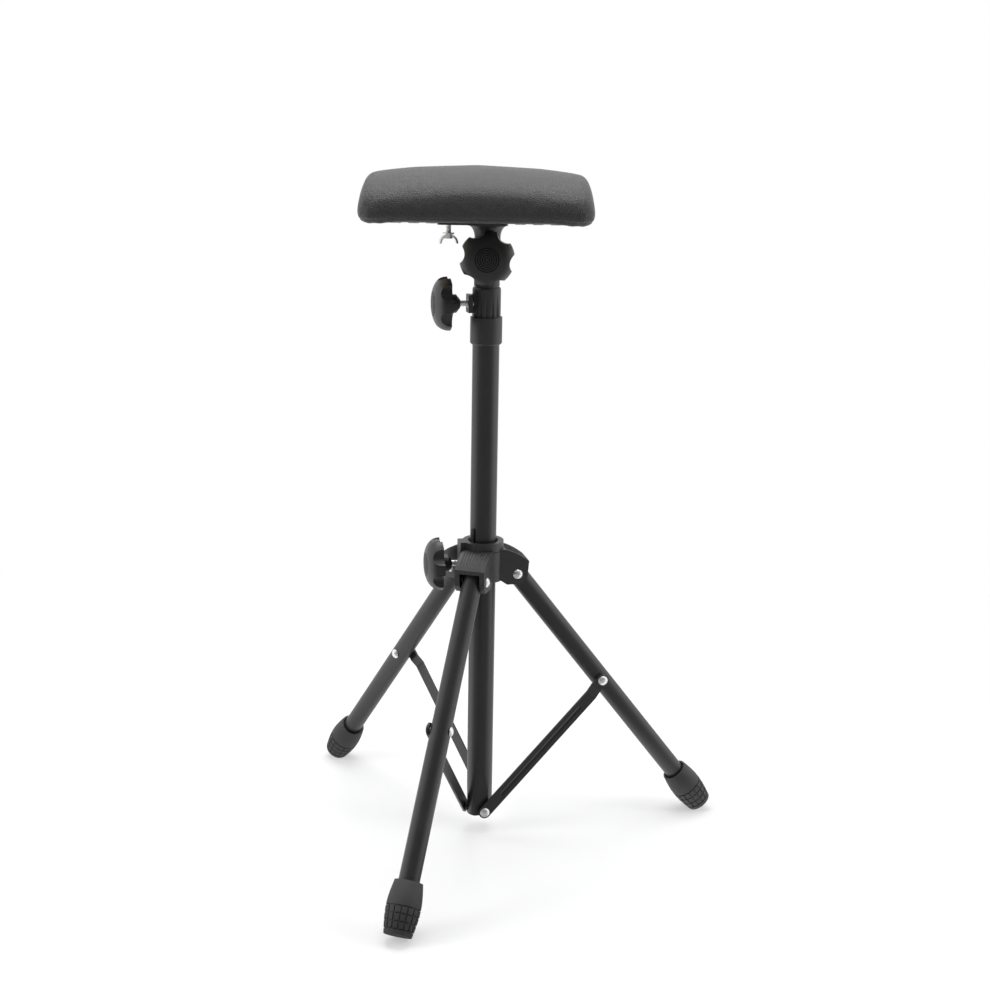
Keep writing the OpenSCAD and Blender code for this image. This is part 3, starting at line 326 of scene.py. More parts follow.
def imitation_leather():
    """The pad's cover: pebbled grain with shade painted into its creases, soft folds and rubbed edges."""
    made, tree, shader = blank(
        "pad_imitation_leather", IOR=1.46, Sheen_Weight=0.12, Sheen_Roughness=0.45)
    hide = placed(tree, HIDE)
    rub = placed(tree, WEAR, Width_mm=4.0, Amount=0.25, Patch_Size_mm=18.0)
    base = mixed(tree, hide["Fold"], (0.034, 0.034, 0.035), (0.046, 0.046, 0.0475))
    # Painted shade: the creases between the pebbles are darkened towards 0.009.
    base = mixed(tree, ranged(tree, hide["Crease"], 0.0, 0.75), base, (0.009, 0.009, 0.0095))
    base = mixed(tree, rub["Mask"], base, (0.06, 0.06, 0.062))
    tree.links.new(base, shader.inputs["Base Color"])
    tree.links.new(ranged(tree, hide["Fold"], 0.40, 0.52), shader.inputs["Roughness"])
    soft = bumped(tree, shader, hide["Fold"], 0.5, 0.25)
    bumped(tree, shader, hide["Height"], 0.32, 1.0, below=soft)
    return made


def layered_wood():
    """Plywood: veneer grain on the faces and dark glue lines at the edges."""
    made, tree, shader = blank("pad_plywood", Roughness=0.6)
    place = add(tree, "ShaderNodeTexCoord").outputs["Object"]
    stretched = add(tree, "ShaderNodeMapping", {"Vector": place, "Scale": (0.1, 1.0, 1.0)}).outputs[0]
    grain = add(
        tree, "ShaderNodeTexNoise",
        {"Vector": stretched, "Scale": 420.0, "Detail": 6.0, "Distortion": 0.6}).outputs["Fac"]
    height = add(tree, "ShaderNodeSeparateXYZ", {0: place}).outputs["Z"]
    layer = sums(tree, "PINGPONG", sums(tree, "MULTIPLY", height, 1000.0), 0.9)
    glue = sums(tree, "LESS_THAN", layer, 0.12)
    base = mixed(tree, grain, (0.46, 0.31, 0.17), (0.66, 0.50, 0.31))
    side = sums(tree, "SUBTRACT", 1.0, sums(tree, "ABSOLUTE", add(tree, "ShaderNodeSeparateXYZ", {
        0: add(tree, "ShaderNodeTexCoord").outputs["Normal"]}).outputs["Z"]), clamp=True)
    base = mixed(tree, sums(tree, "MULTIPLY", glue, side), base, (0.16, 0.09, 0.05))
    tree.links.new(base, shader.inputs["Base Color"])
    bumped(tree, shader, grain, 0.08, 0.6)
    return made


PAINT = coated(
    "black_powder_coat", (0.018, 0.018, 0.019), (0.10, 0.10, 0.104), 0.34, 0.9, 0.02, wear=0.35)
BRACE_PAINT = coated(
    "brace_black_paint", (0.020, 0.020, 0.021), (0.13, 0.13, 0.134), 0.38, 0.8, 0.02, wear=0.55)
MOULDED = coated(
    "moulded_black_plastic", (0.025, 0.025, 0.0255), (0.05, 0.05, 0.051), 0.42, 0.35, 0.03, wear=0.5)
KNOB_LOOK = ((0.016, 0.016, 0.0165), (0.045, 0.045, 0.046), 0.34, 0.3, 0.015)
KNOB = coated("knob_black_plastic", *KNOB_LOOK, wear=0.4)
KNOB_AXES = {
    "collar_knob": (KNOB_TURN, COLLAR_SCREW_HEIGHT),
    "hub_knob": (KNOB_TURN, HUB_SCREW_HEIGHT),
    "tilt_knob": (FRONT_TURN, TILT_HEIGHT),
}
KNOB_FACE_MM = 5.0


def ringed_knob(node):
    """The knob plastic with shade painted into the grooves of one knob's face."""
    turn, height = KNOB_AXES[node]
    face = length_of(node, direction(turn))[1] / MM - KNOB_FACE_MM
    return coated(f"{node}_plastic", *KNOB_LOOK, wear=0.4, rings={
        "Turn": math.radians(turn), "Axis_Height_mm": height / MM, "Face_From_mm": face})


RINGED_KNOBS = {node: ringed_knob(node) for node in KNOB_AXES}
LINER = coated(
    "liner_black_plastic", (0.008, 0.008, 0.0085), (0.05, 0.05, 0.05), 0.42, 0.4, 0.01, wear=0.3,
    dust=0.03)
NYLON = coated(
    "natural_nylon", (0.62, 0.60, 0.55), (0.70, 0.68, 0.63), 0.45, 0.4, 0.01, wear=0.2, dust=0.02,
    Subsurface_Weight=0.1)
RUBBER = coated(
    "foot_rubber", (0.026, 0.026, 0.026), (0.08, 0.08, 0.08), 0.62, 0.25, 0.05, wear=0.7, wear_mm=0.35,
    dust=0.16)
ZINC = plated("bright_zinc", (0.86, 0.86, 0.87), 0.2, 0.36)
NICKEL = plated("bright_nickel", (0.92, 0.91, 0.90), 0.12, 0.24, 0.4)
BRASS = plated("nickel_plated_brass", (0.70, 0.64, 0.52), 0.22, 0.38, 0.4)
WOOD = layered_wood()
LEATHER = imitation_leather()

NODE_FINISHES = {
    "black_paint": PAINT, "brace_paint": BRACE_PAINT, "zinc": ZINC, "bright_steel": NICKEL,
    "black_plastic": MOULDED, "knob_plastic": KNOB, "liner_plastic": LINER, "pale_plastic": NYLON,
    "brass": BRASS, "foot_rubber": RUBBER, "plywood": WOOD, "pad_cover": LEATHER,
}
SLOT_OF = {row["node"]: row["material_slot"] for row in frame["record"]["subparts"]}


def dress_cad_nodes():
    """Puts each CAD node's finish in its material slot."""
    for name, obj in frame["nodes"].items():
        obj.data.materials.clear()
        obj.data.materials.append(RINGED_KNOBS.get(name) or NODE_FINISHES[SLOT_OF[name]])


# Cushion


# Stations from the cushion's bottom edge to its crown: inset at the ends and at the sides in mm,
# and the share of the height
PAD_STATIONS = [
    (5.0, 5.0, 0.0), (1.8, 1.8, 0.02), (0.5, 0.5, 0.08), (0.0, 0.0, 0.20), (0.3, 0.0, 0.36),
    (1.0, 0.2, 0.50), (2.0, 0.6, 0.65), (3.2, 1.2, 0.77), (4.8, 2.2, 0.87), (7.2, 4.2, 0.945),
    (10.5, 7.5, 0.985), (16, 13, 1), (25, 22, 1), (36, 33, 1), (50, 47, 1),
]
PAD_CORNER_POWER = 9
END_DROP, SIDE_DROP = 0.20, 0.51
PULLED_IN_MM = 1.2
COVER_ROOM_MM = 0.9
PAD_AROUND = 144


def pad_outline(turn, half_x, half_y):
    """A point on the cushion's plan: a rectangle with soft corners."""
    c, s = math.cos(turn), math.sin(turn)
    power = PAD_CORNER_POWER
    reach = (abs(c / half_x) ** power + abs(s / half_y) ** power) ** (-1 / power)
    return reach * c, reach * s


def cushion_form(shrink_mm):
    """The cushion's closed skin before it is blown up: its sides pull in between the corners."""
    low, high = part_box("pad_cushion")
    middle = (low + high) / 2
    half = (high - low) / 2
    tall = high.z - low.z - shrink_mm * MM
    around = PAD_AROUND
    form = bmesh.new()
    rings = []
    for end_inset, side_inset, share in PAD_STATIONS:
        ring = []
        for i in range(around):
            turn = 2 * math.pi * i / around
            x, y = pad_outline(
                turn, half.x - (end_inset + shrink_mm) * MM, half.y - (side_inset + shrink_mm) * MM)
            x -= math.copysign(PULLED_IN_MM * MM, x) * (x / half.x) ** 6 * (1 - (y / half.y) ** 2)
            y -= math.copysign(PULLED_IN_MM * MM, y) * (y / half.y) ** 6 * (1 - (x / half.x) ** 2)
            crown = 1 - END_DROP * (x / half.x) ** 2 - SIDE_DROP * (y / half.y) ** 2
            ring.append(form.verts.new((middle.x + x, middle.y + y, low.z + tall * share * crown)))
        rings.append(ring)
    for lower, upper in zip(rings, rings[1:]):
        for i in range(around):
            j = (i + 1) % around
            form.faces.new((lower[i], lower[j], upper[j], upper[i]))
    bottom = form.verts.new((middle.x, middle.y, low.z))
    top = form.verts.new((middle.x, middle.y, low.z + tall))
    for i in range(around):
        j = (i + 1) % around
        form.faces.new((rings[0][j], rings[0][i], bottom))
        form.faces.new((rings[-1][i], rings[-1][j], top))
    mesh = bpy.data.meshes.new("cushion_form")
    form.to_mesh(mesh)
    form.free()
    return mesh


def linked(name, data):
    """An object with this mesh, lamp or camera, put into the scene."""
    obj = bpy.data.objects.new(name, data)
    bpy.context.scene.collection.objects.link(obj)
    return obj


def applied(obj):
    """The object's mesh with its modifiers worked in."""
    bpy.context.view_layer.update()
    result = bpy.data.meshes.new_from_object(obj.evaluated_get(bpy.context.evaluated_depsgraph_get()))
    obj.modifiers.clear()
    obj.data = result
    return obj


def smooth(obj, angle=math.radians(40)):
    """Smooth shading, with edges kept sharp past an angle."""
    obj.data.shade_smooth()
    obj.data.set_sharp_from_angle(angle=angle)


# The cloth run: its mesh, how far up the edge is held, and the most that a point may move, in mm
COVER_VOXEL_MM, COVER_HELD_MM, COVER_MOST_MM = 4, 4, 3
COVER_FRAMES = 20
COVER_STIFFNESS, COVER_BENDING, COVER_MASS_KG, COVER_PRESSURE = 30, 1.5, 0.3, 4

# The gathers at the lower corners: where they begin and reach full depth along the sum of both
# shares of the half sides, the corner's radius, their height, their depth and how many to a turn
GATHER_FROM, GATHER_OVER = 1.62, 0.38
GATHER_CORNER_MM, GATHER_HEIGHT_MM, GATHER_DEPTH_MM, GATHERS = 22, 17, 0.45, 13


def blown_cushion():
    """The cover blown up over its foam by a cloth run, with gathers at the four lower corners."""
    low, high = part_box("pad_cushion")
    middle, half = (low + high) / 2, (high - low) / 2
    cushion = linked("pad_cushion_cover", cushion_form(COVER_ROOM_MM))
    remesh = cushion.modifiers.new("even_mesh", "REMESH")
    remesh.mode, remesh.voxel_size = "VOXEL", COVER_VOXEL_MM * MM
    applied(cushion)
    start = [v.co.copy() for v in cushion.data.vertices]
    held = cushion.vertex_groups.new(name="held")
    line = low.z + COVER_HELD_MM * MM
    held.add([v.index for v in cushion.data.vertices if v.co.z < line], 1.0, "REPLACE")
    cloth = cushion.modifiers.new("cover", "CLOTH")
    cloth.settings.vertex_group_mass = "held"
    cloth.settings.quality = 6
    cloth.settings.mass = COVER_MASS_KG
    cloth.settings.tension_stiffness = cloth.settings.compression_stiffness = COVER_STIFFNESS
    cloth.settings.bending_stiffness = COVER_BENDING
    cloth.settings.use_pressure = True
    cloth.settings.uniform_pressure_force = COVER_PRESSURE
    cloth.settings.effector_weights.gravity = 0
    cloth.point_cache.frame_start, cloth.point_cache.frame_end = 1, COVER_FRAMES
    scene = bpy.context.scene
    for step in range(1, COVER_FRAMES + 1):
        scene.frame_set(step)
    applied(cushion)
    cushion.vertex_groups.clear()
    most = COVER_MOST_MM * MM
    for v, at in zip(cushion.data.vertices, start):
        moved = v.co - at
        if moved.length > most:
            v.co = at + moved * (most / moved.length)
    scene.frame_set(1)
    for v in cushion.data.vertices:
        x, y = v.co.x - middle.x, v.co.y - middle.y
        corner = max(0.0, abs(x) / half.x + abs(y) / half.y - GATHER_FROM) / GATHER_OVER
        inner = GATHER_CORNER_MM * MM
        turn = math.atan2(abs(y) - half.y + inner, abs(x) - half.x + inner)
        near_edge = max(0.0, 1 - (v.co.z - low.z) / (GATHER_HEIGHT_MM * MM))
        pucker = math.sin(turn * GATHERS) * GATHER_DEPTH_MM * MM * corner * near_edge
        outward = Vector((x, y, 0)).normalized()
        v.co += outward * pucker
    finer = cushion.modifiers.new("finer", "SUBSURF")
    finer.levels = finer.render_levels = 1
    applied(cushion)
    return cushion


def kept_inside(obj, node, spare_mm):
    """Pulls the few points that passed a CAD node's box back to it."""
    low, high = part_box(node)
    spare = spare_mm * MM
    for v in obj.data.vertices:
        for axis in range(3):
            v.co[axis] = min(max(v.co[axis], low[axis] - spare), high[axis] + spare)


# The hem from where it leaves the cushion to its cut edge: inset and height above the board, in mm
HEM_LINE = [
    (3.6, 2.3), (4.4, 1.1), (5.6, 0.3), (7.4, -0.3), (9.5, -0.7), (12, -0.9), (16, -1.0), (20, -1.0),
    (24, -0.95),
]
HEM_AROUND = 480
HEM_THICKNESS_MM = 0.8
# The folds under the corners: where they begin, and their depth in mm without and with the pleats
FOLD_FROM, FOLD_OVER = 1.5, 0.2
FOLD_CORNER_MM, FOLD_DEPTH_MM, PLEAT_DEPTH_MM, PLEATS = 34, 1.6, 0.5, 16


def cover_hem():
    """The cover's edge turned under the board, gathered into small folds at the corners."""
    low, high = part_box("pad_cushion")
    under_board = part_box("pad_board")[0].z
    middle, half = (low + high) / 2, (high - low) / 2
    around = HEM_AROUND
    form = bmesh.new()
    rings = []
    for k, (inset, height) in enumerate(HEM_LINE):
        across = k / (len(HEM_LINE) - 1)
        ring = []
        for i in range(around):
            turn = 2 * math.pi * i / around
            x, y = pad_outline(turn, half.x - inset * MM, half.y - inset * MM)
            corner = (abs(x) / half.x + abs(y) / half.y - FOLD_FROM) / FOLD_OVER
            corner = min(1.0, max(0.0, corner))
            inner = FOLD_CORNER_MM * MM
            at_corner = math.atan2(abs(y) - half.y + inner, abs(x) - half.x + inner)
            pleat = 0.5 + 0.5 * math.cos(at_corner * PLEATS)
            bulge = math.sin(math.pi * min(1.0, across * 1.1 + 0.08))
            depth = FOLD_DEPTH_MM + PLEAT_DEPTH_MM * pleat
            drop = corner * corner * (3 - 2 * corner) * bulge * depth
            ring.append(form.verts.new(
                (middle.x + x, middle.y + y, under_board + (height - drop) * MM)))
        rings.append(ring)
    for outer, inner in zip(rings, rings[1:]):
        for i in range(around):
            j = (i + 1) % around
            form.faces.new((outer[j], outer[i], inner[i], inner[j]))
    mesh = bpy.data.meshes.new("cover_hem")
    form.to_mesh(mesh)
    form.free()
    obj = linked("pad_cover_hem", mesh)
    shell = obj.modifiers.new("thickness", "SOLIDIFY")
    shell.thickness, shell.offset = HEM_THICKNESS_MM * MM, -1
    applied(obj)
    smooth(obj)
    return obj


PAD_SPARE_MM = 2.0
PAD_SHARP_DEGREES = 60


def make_pad():
    """The cushion and the hem, in imitation leather."""
    cushion = blown_cushion()
    kept_inside(cushion, "pad_cushion", PAD_SPARE_MM)
    smooth(cushion, math.radians(PAD_SHARP_DEGREES))
    cushion.data.materials.clear()
    cushion.data.materials.append(LEATHER)
    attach(cushion, "pad")
    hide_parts("pad_cushion")
    hem = cover_hem()
    hem.data.materials.append(LEATHER)
    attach(hem, "pad")


# Pieces that repeat or follow a line, grown by Geometry Nodes


def shape_tree(name, sizes):
    """An empty geometry tree with named inputs, and the nodes that it starts and ends with."""
    tree = bpy.data.node_groups.new(name, "GeometryNodeTree")
    tree.interface.new_socket("Geometry", in_out="OUTPUT", socket_type="NodeSocketGeometry")
    kinds = {float: "NodeSocketFloat", int: "NodeSocketInt", tuple: "NodeSocketVector"}
    for label, value in sizes.items():
        socket = tree.interface.new_socket(label, in_out="INPUT", socket_type=kinds[type(value)])
        socket.default_value = value
    tree.interface.new_socket("Finish", in_out="INPUT", socket_type="NodeSocketMaterial")
    return tree, tree.nodes.new("NodeGroupInput").outputs


def close_tree(tree, given, shape):
    """Ends a geometry tree in Realize Instances and Set Material."""
    real = add(tree, "GeometryNodeRealizeInstances", {"Geometry": shape}).outputs[0]
    done = add(
        tree, "GeometryNodeSetMaterial", {"Geometry": real, "Material": given["Finish"]}).outputs[0]
    add(tree, "NodeGroupOutput", {"Geometry": done})
    return tree


def grown(tree, finish, places, **sizes):
    """Meshes that a geometry tree grows, one put at each place, as one plain mesh."""
    seed = linked("seed", bpy.data.meshes.new("seed"))
    grower = seed.modifiers.new("grower", "NODES")
    grower.node_group = tree
    for socket in tree.interface.items_tree:
        key = socket.name.replace(" ", "_")
        if socket.in_out == "INPUT" and key in sizes:
            grower[socket.identifier] = sizes[key]
        elif socket.name == "Finish":
            grower[socket.identifier] = finish
    applied(seed)
    whole = bmesh.new()
    for place in places:
        copy = seed.data.copy()
        copy.transform(place)
        whole.from_mesh(copy)
        bpy.data.meshes.remove(copy)
    mesh = bpy.data.meshes.new("grown")
    whole.to_mesh(mesh)
    whole.free()
    mesh.materials.append(finish)
    bpy.data.objects.remove(seed)
    return mesh


def cut_thread_tree():
    """A screw's thread: a ridge that winds round a plain core, up from the origin."""
    tree, given = shape_tree(
        "cut_thread", {"Core Radius": 2.4 * MM, "Ridge": 0.6 * MM, "Pitch": 1.0 * MM, "Turns": 20.0})
    length = sums(tree, "MULTIPLY", given["Pitch"], given["Turns"])
    helix = add(tree, "GeometryNodeCurveSpiral", {
        "Resolution": 20, "Rotations": given["Turns"], "Start Radius": given["Core Radius"],
        "End Radius": given["Core Radius"], "Height": length})
    ridge = add(tree, "GeometryNodeCurvePrimitiveCircle", {"Resolution": 4, "Radius": given["Ridge"]})
    wound = add(tree, "GeometryNodeCurveToMesh", {
        "Curve": helix.outputs[0], "Profile Curve": ridge.outputs[0], "Fill Caps": True})
    core = add(
        tree, "GeometryNodeMeshCylinder",
        {"Vertices": 32, "Radius": given["Core Radius"], "Depth": length})
    lift = add(tree, "ShaderNodeCombineXYZ", {"Z": sums(tree, "MULTIPLY", length, 0.5)})
    raised = add(
        tree, "GeometryNodeTransform", {"Geometry": core.outputs[0], "Translation": lift.outputs[0]})
    both = add(tree, "GeometryNodeJoinGeometry", {"Geometry": raised.outputs[0]})
    tree.links.new(wound.outputs[0], both.inputs[0])
    return close_tree(tree, given, both.outputs[0])


def hood_ribs_tree():
    """Fine ribs that run side by side along a crowned hood."""
    tree, given = shape_tree("hood_ribs", {
        "Root": (0.0, 0.0, 0.0), "Crown": (0.0, 0.0, 0.0), "Tip": (0.0, 0.0, 0.0),
        "Rib Radius": 0.45 * MM, "Count": 9, "Spacing": 2.6 * MM})
    path = add(tree, "GeometryNodeCurveQuadraticBezier", {
        "Resolution": 14, "Start": given["Root"], "Middle": given["Crown"], "End": given["Tip"]})
    round_bar = add(
        tree, "GeometryNodeCurvePrimitiveCircle", {"Resolution": 8, "Radius": given["Rib Radius"]})
    rib = add(tree, "GeometryNodeCurveToMesh", {
        "Curve": path.outputs[0], "Profile Curve": round_bar.outputs[0], "Fill Caps": True})
    steps = sums(tree, "SUBTRACT", given["Count"], 1.0)
    first = add(
        tree, "ShaderNodeCombineXYZ",
        {"Y": sums(tree, "MULTIPLY", sums(tree, "MULTIPLY", steps, given["Spacing"]), -0.5)})
    step = add(tree, "ShaderNodeCombineXYZ", {"Y": given["Spacing"]})
    row = add(
        tree, "GeometryNodeMeshLine",
        {"Count": given["Count"], "Start Location": first.outputs[0], "Offset": step.outputs[0]})
    ribs = add(
        tree, "GeometryNodeInstanceOnPoints", {"Points": row.outputs[0], "Instance": rib.outputs[0]})
    return close_tree(tree, given, ribs.outputs[0])


def knob_webs_tree():
    """Webs inside a hollow knob, from its stem out into its lobes."""
    tree, given = shape_tree("knob_webs", {
        "Inner": 8.0 * MM, "Outer": 17.5 * MM, "Inner Height": 13.5 * MM, "Outer Height": 11.0 * MM,
        "Start": 2.0 * MM, "Thickness": 1.6 * MM, "Count": 6})
    corners = []
    for reach, height in (
        ("Inner", "Start"), ("Outer", "Start"), ("Outer", "Outer Height"), ("Inner", "Inner Height")):
        corners.append(add(
            tree, "ShaderNodeCombineXYZ", {"X": given[reach], "Y": given[height]}).outputs[0])
    side = add(tree, "GeometryNodeCurvePrimitiveQuadrilateral", {
        "Point 1": corners[0], "Point 2": corners[1], "Point 3": corners[2], "Point 4": corners[3]},
        mode="POINTS")
    filled = add(tree, "GeometryNodeFillCurve", {"Curve": side.outputs[0]}, mode="NGONS")
    thick = add(
        tree, "GeometryNodeExtrudeMesh",
        {"Mesh": filled.outputs[0], "Offset Scale": given["Thickness"], "Individual": False})
    under = add(tree, "GeometryNodeFlipFaces", {"Mesh": filled.outputs[0]})
    shell = add(tree, "GeometryNodeJoinGeometry", {"Geometry": thick.outputs[0]})
    tree.links.new(under.outputs[0], shell.inputs[0])
    closed = add(
        tree, "GeometryNodeMergeByDistance", {"Geometry": shell.outputs[0], "Distance": 0.01 * MM})
    half = add(tree, "ShaderNodeCombineXYZ", {"Z": sums(tree, "MULTIPLY", given["Thickness"], -0.5)})
    centred = add(
        tree, "GeometryNodeTransform", {"Geometry": closed.outputs[0], "Translation": half.outputs[0]})
    upright = add(
        tree, "GeometryNodeTransform", {"Geometry": centred.outputs[0], "Rotation": (math.pi / 2, 0, 0)})
    hub = add(tree, "GeometryNodeMeshLine", {"Count": given["Count"], "Offset": (0, 0, 0)})
    which = add(tree, "GeometryNodeInputIndex").outputs[0]
    turn = sums(tree, "MULTIPLY", which, sums(tree, "DIVIDE", 2 * math.pi, given["Count"]))
    spin = add(tree, "ShaderNodeCombineXYZ", {"Z": turn})
    webs = add(tree, "GeometryNodeInstanceOnPoints", {
        "Points": hub.outputs[0], "Instance": upright.outputs[0], "Rotation": spin.outputs[0]})
    return close_tree(tree, given, webs.outputs[0])


def staples_tree():
    """Wire staples in a row along a rounded rectangle, lying across its edge."""
    tree, given = shape_tree("staples", {
        "Width": 180.0 * MM, "Depth": 100.0 * MM, "Corner": 18.0 * MM,
        "Wire": 0.45 * MM, "Crown": 9.0 * MM, "Count": 34})
    frame_line = add(
        tree, "GeometryNodeCurvePrimitiveQuadrilateral",
        {"Width": given["Width"], "Height": given["Depth"]})
    rounded = add(tree, "GeometryNodeFilletCurve", {
        "Curve": frame_line.outputs[0], "Count": 6, "Radius": given["Corner"]}, mode="POLY")
    spots = add(
        tree, "GeometryNodeCurveToPoints", {"Curve": rounded.outputs[0], "Count": given["Count"]},
        mode="COUNT")
    reach = sums(tree, "MULTIPLY", given["Crown"], 0.5)
    legs = []
    for side, drop in ((-1.0, 1.2), (-1.0, 0.0), (1.0, 0.0), (1.0, 1.2)):
        spot = {"X": sums(tree, "MULTIPLY", reach, side), "Z": drop * MM}
        legs.append(add(tree, "ShaderNodeCombineXYZ", spot).outputs[0])
    parts = add(tree, "GeometryNodeJoinGeometry")
    for a, b in zip(legs, legs[1:]):
        line = add(tree, "GeometryNodeCurvePrimitiveLine", {"Start": a, "End": b})
        wire = add(tree, "GeometryNodeCurvePrimitiveCircle", {"Resolution": 6, "Radius": given["Wire"]})
        bar = add(
            tree, "GeometryNodeCurveToMesh",
            {"Curve": line.outputs[0], "Profile Curve": wire.outputs[0], "Fill Caps": True})
        tree.links.new(bar.outputs[0], parts.inputs[0])
    along = add(
        tree, "FunctionNodeAlignRotationToVector", {"Vector": spots.outputs["Tangent"]}, axis="X",
        pivot_axis="Z")
    row = add(tree, "GeometryNodeInstanceOnPoints", {
        "Points": spots.outputs["Points"], "Instance": parts.outputs[0], "Rotation": along.outputs[0]})
    return close_tree(tree, given, row.outputs[0])


def on_screw(height, out):
    """The place on a clamp screw's line, out from the column's axis, with +Z outwards."""
    return (Matrix.Rotation(math.radians(KNOB_TURN), 4, "Z") @ Matrix.Translation((0, 0, height))
            @ Matrix.Rotation(math.pi / 2, 4, "Y") @ Matrix.Translation((0, 0, out)))


def on_tilt(out):
    """The place on the tilt axis, with +Z to the front."""
    return (Matrix.Translation((0, 0, TILT_HEIGHT)) @ Matrix.Rotation(math.pi / 2, 4, "X")
            @ Matrix.Translation((0, 0, out)))


def fitted(name, mesh, body, slot, *replaced, angle=math.radians(35)):
    """A rigid piece that rides on a body, and stands for CAD nodes where it has their shape."""
    obj = linked(name, mesh)
    smooth(obj, angle)
    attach(obj, body)
    if replaced:
        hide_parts(*replaced)
    return obj


CLAMP_PITCH_MM, CLAMP_CORE_MM, CLAMP_RIDGE_MM = 1.0, 2.78, 0.22
BOLT_PITCH_MM, BOLT_CORE_MM, BOLT_RIDGE_MM = 0.8, 2.2, 0.3
BOLT_HEAD_R_MM, BOLT_HEAD_MM = 7, 1.5


def make_threads():
    """Threads on the two clamp screws and on the pad's bolt, with the bolt's broad head."""
    tree = cut_thread_tree()
    for name, height, body in (
        ("collar", COLLAR_SCREW_HEIGHT, "collar_knob"), ("hub", HUB_SCREW_HEIGHT, "hub_knob")):
        near, far = length_of(f"{name}_screw", direction(KNOB_TURN))
        mesh = grown(tree, NICKEL, [on_screw(height, near)], Core_Radius=CLAMP_CORE_MM * MM,
                     Ridge=CLAMP_RIDGE_MM * MM, Turns=(far - near) / (CLAMP_PITCH_MM * MM))
        fitted(f"{name}_screw_thread", mesh, body, "bright_steel", f"{name}_screw")
    low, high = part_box("pad_bolt")
    centre = (low + high) / 2
    pitch, head_r, head = BOLT_PITCH_MM * MM, BOLT_HEAD_R_MM * MM, BOLT_HEAD_MM * MM
    foot = Matrix.Translation((centre.x, centre.y, low.z))
    shank = grown(tree, NICKEL, [foot], Core_Radius=BOLT_CORE_MM * MM, Ridge=BOLT_RIDGE_MM * MM,
                  Pitch=pitch, Turns=(high.z - low.z - head) / pitch)
    whole = bmesh.new()
    whole.from_mesh(shank)
    bmesh.ops.create_cone(whole, cap_ends=True, segments=40, radius1=head_r, radius2=head_r, depth=head,
                          matrix=Matrix.Translation((centre.x, centre.y, high.z - head / 2)))
    whole.to_mesh(shank)
    whole.free()
    fitted("pad_bolt_thread", shank, "pad", "bright_steel", "pad_bolt")


# The crowned line of a hood, as part.scad gives it: its ends out from the column's axis and in
# height, and how far its middle stands above them, in mm
HOOD_ROOT, HOOD_TIP, HOOD_RISE = Vector((18.42, 0, 292.34)), Vector((42.2, 0, 279.94)), 3.2
# How far the ribs' ends are let into the hood, in mm, and the share of its line that they leave free
RIB_TIP_INSET, RIB_ROOT_LIFT, RIB_FREE_SHARE = Vector((0.3, 0, 0.1)), 0.4, 0.08


def make_hood_ribs():
    """The ribs follow the crowned line of the hoods."""
    root, tip = HOOD_ROOT * MM, HOOD_TIP * MM
    crown = (root + tip) / 2 + Vector((0, 0, HOOD_RISE * MM))
    start = root.lerp(tip, RIB_FREE_SHARE) + Vector((0, 0, RIB_ROOT_LIFT * MM))
    end = tip - RIB_TIP_INSET * MM
    places = [Matrix.Rotation(math.radians(turn), 4, "Z") for turn in LEG_TURNS.values()]
    mesh = grown(
        hood_ribs_tree(), MOULDED, places, Root=tuple(start), Crown=tuple(crown), Tip=tuple(end))
    fitted("hub_hood_ribs", mesh, "hub", "black_plastic")


# How far out a knob's hollow begins, in mm, and the turns of the lobes, in degrees
KNOB_STEM_MM = 10
CLAMP_LOBE_TURN, TILT_LOBE_TURN = 30, 22


def make_knob_webs():
    """The webs inside the three knobs, in line with their lobes."""
    tree = knob_webs_tree()

    def hollow(node, axis):
        return length_of(node, axis)[0] + KNOB_STEM_MM * MM

    out = direction(KNOB_TURN)
    clamp_lobes = Matrix.Rotation(math.radians(CLAMP_LOBE_TURN), 4, "Z")
    tilt_lobes = Matrix.Rotation(math.radians(TILT_LOBE_TURN), 4, "Z")
    places = {
        "collar_knob": on_screw(COLLAR_SCREW_HEIGHT, hollow("collar_knob", out)) @ clamp_lobes,
        "hub_knob": on_screw(HUB_SCREW_HEIGHT, hollow("hub_knob", out)) @ clamp_lobes,
        "tilt_knob": on_tilt(hollow("tilt_knob", Vector((0, -1, 0)))) @ tilt_lobes,
    }
    for body, place in places.items():
        fitted(f"{body}_webs", grown(tree, KNOB, [place]), body, "knob_plastic")


STAPLE_DROP_MM, STAPLE_INSET_MM = 1.4, 7


def make_staples():
    """Staples through the hem, in a row around the board."""
    low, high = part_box("pad_board")
    centre = (low + high) / 2
    inset = 2 * STAPLE_INSET_MM * MM
    spot = Matrix.Translation((centre.x, centre.y, low.z - STAPLE_DROP_MM * MM))
    mesh = grown(
        staples_tree(), ZINC, [spot], Width=high.x - low.x - inset, Depth=high.y - low.y - inset)
    fitted("pad_staples", mesh, "pad", "zinc")


# Studio


def mirrored_light(tree, towards, low):
    """The studio as it shows in the finishes: dark in front, bright at the sides, softer behind."""
    rise = add(
        tree, "ShaderNodeMapRange",
        {"Value": towards, "From Min": -0.6, "From Max": 0.0, "To Min": low, "To Max": 1.5})
    fall = add(
        tree, "ShaderNodeMapRange",
        {"Value": towards, "From Min": 0.15, "From Max": 0.6, "To Min": 1.0, "To Max": 0.62})
    return sums(tree, "MULTIPLY", rise.outputs[0], fall.outputs[0])


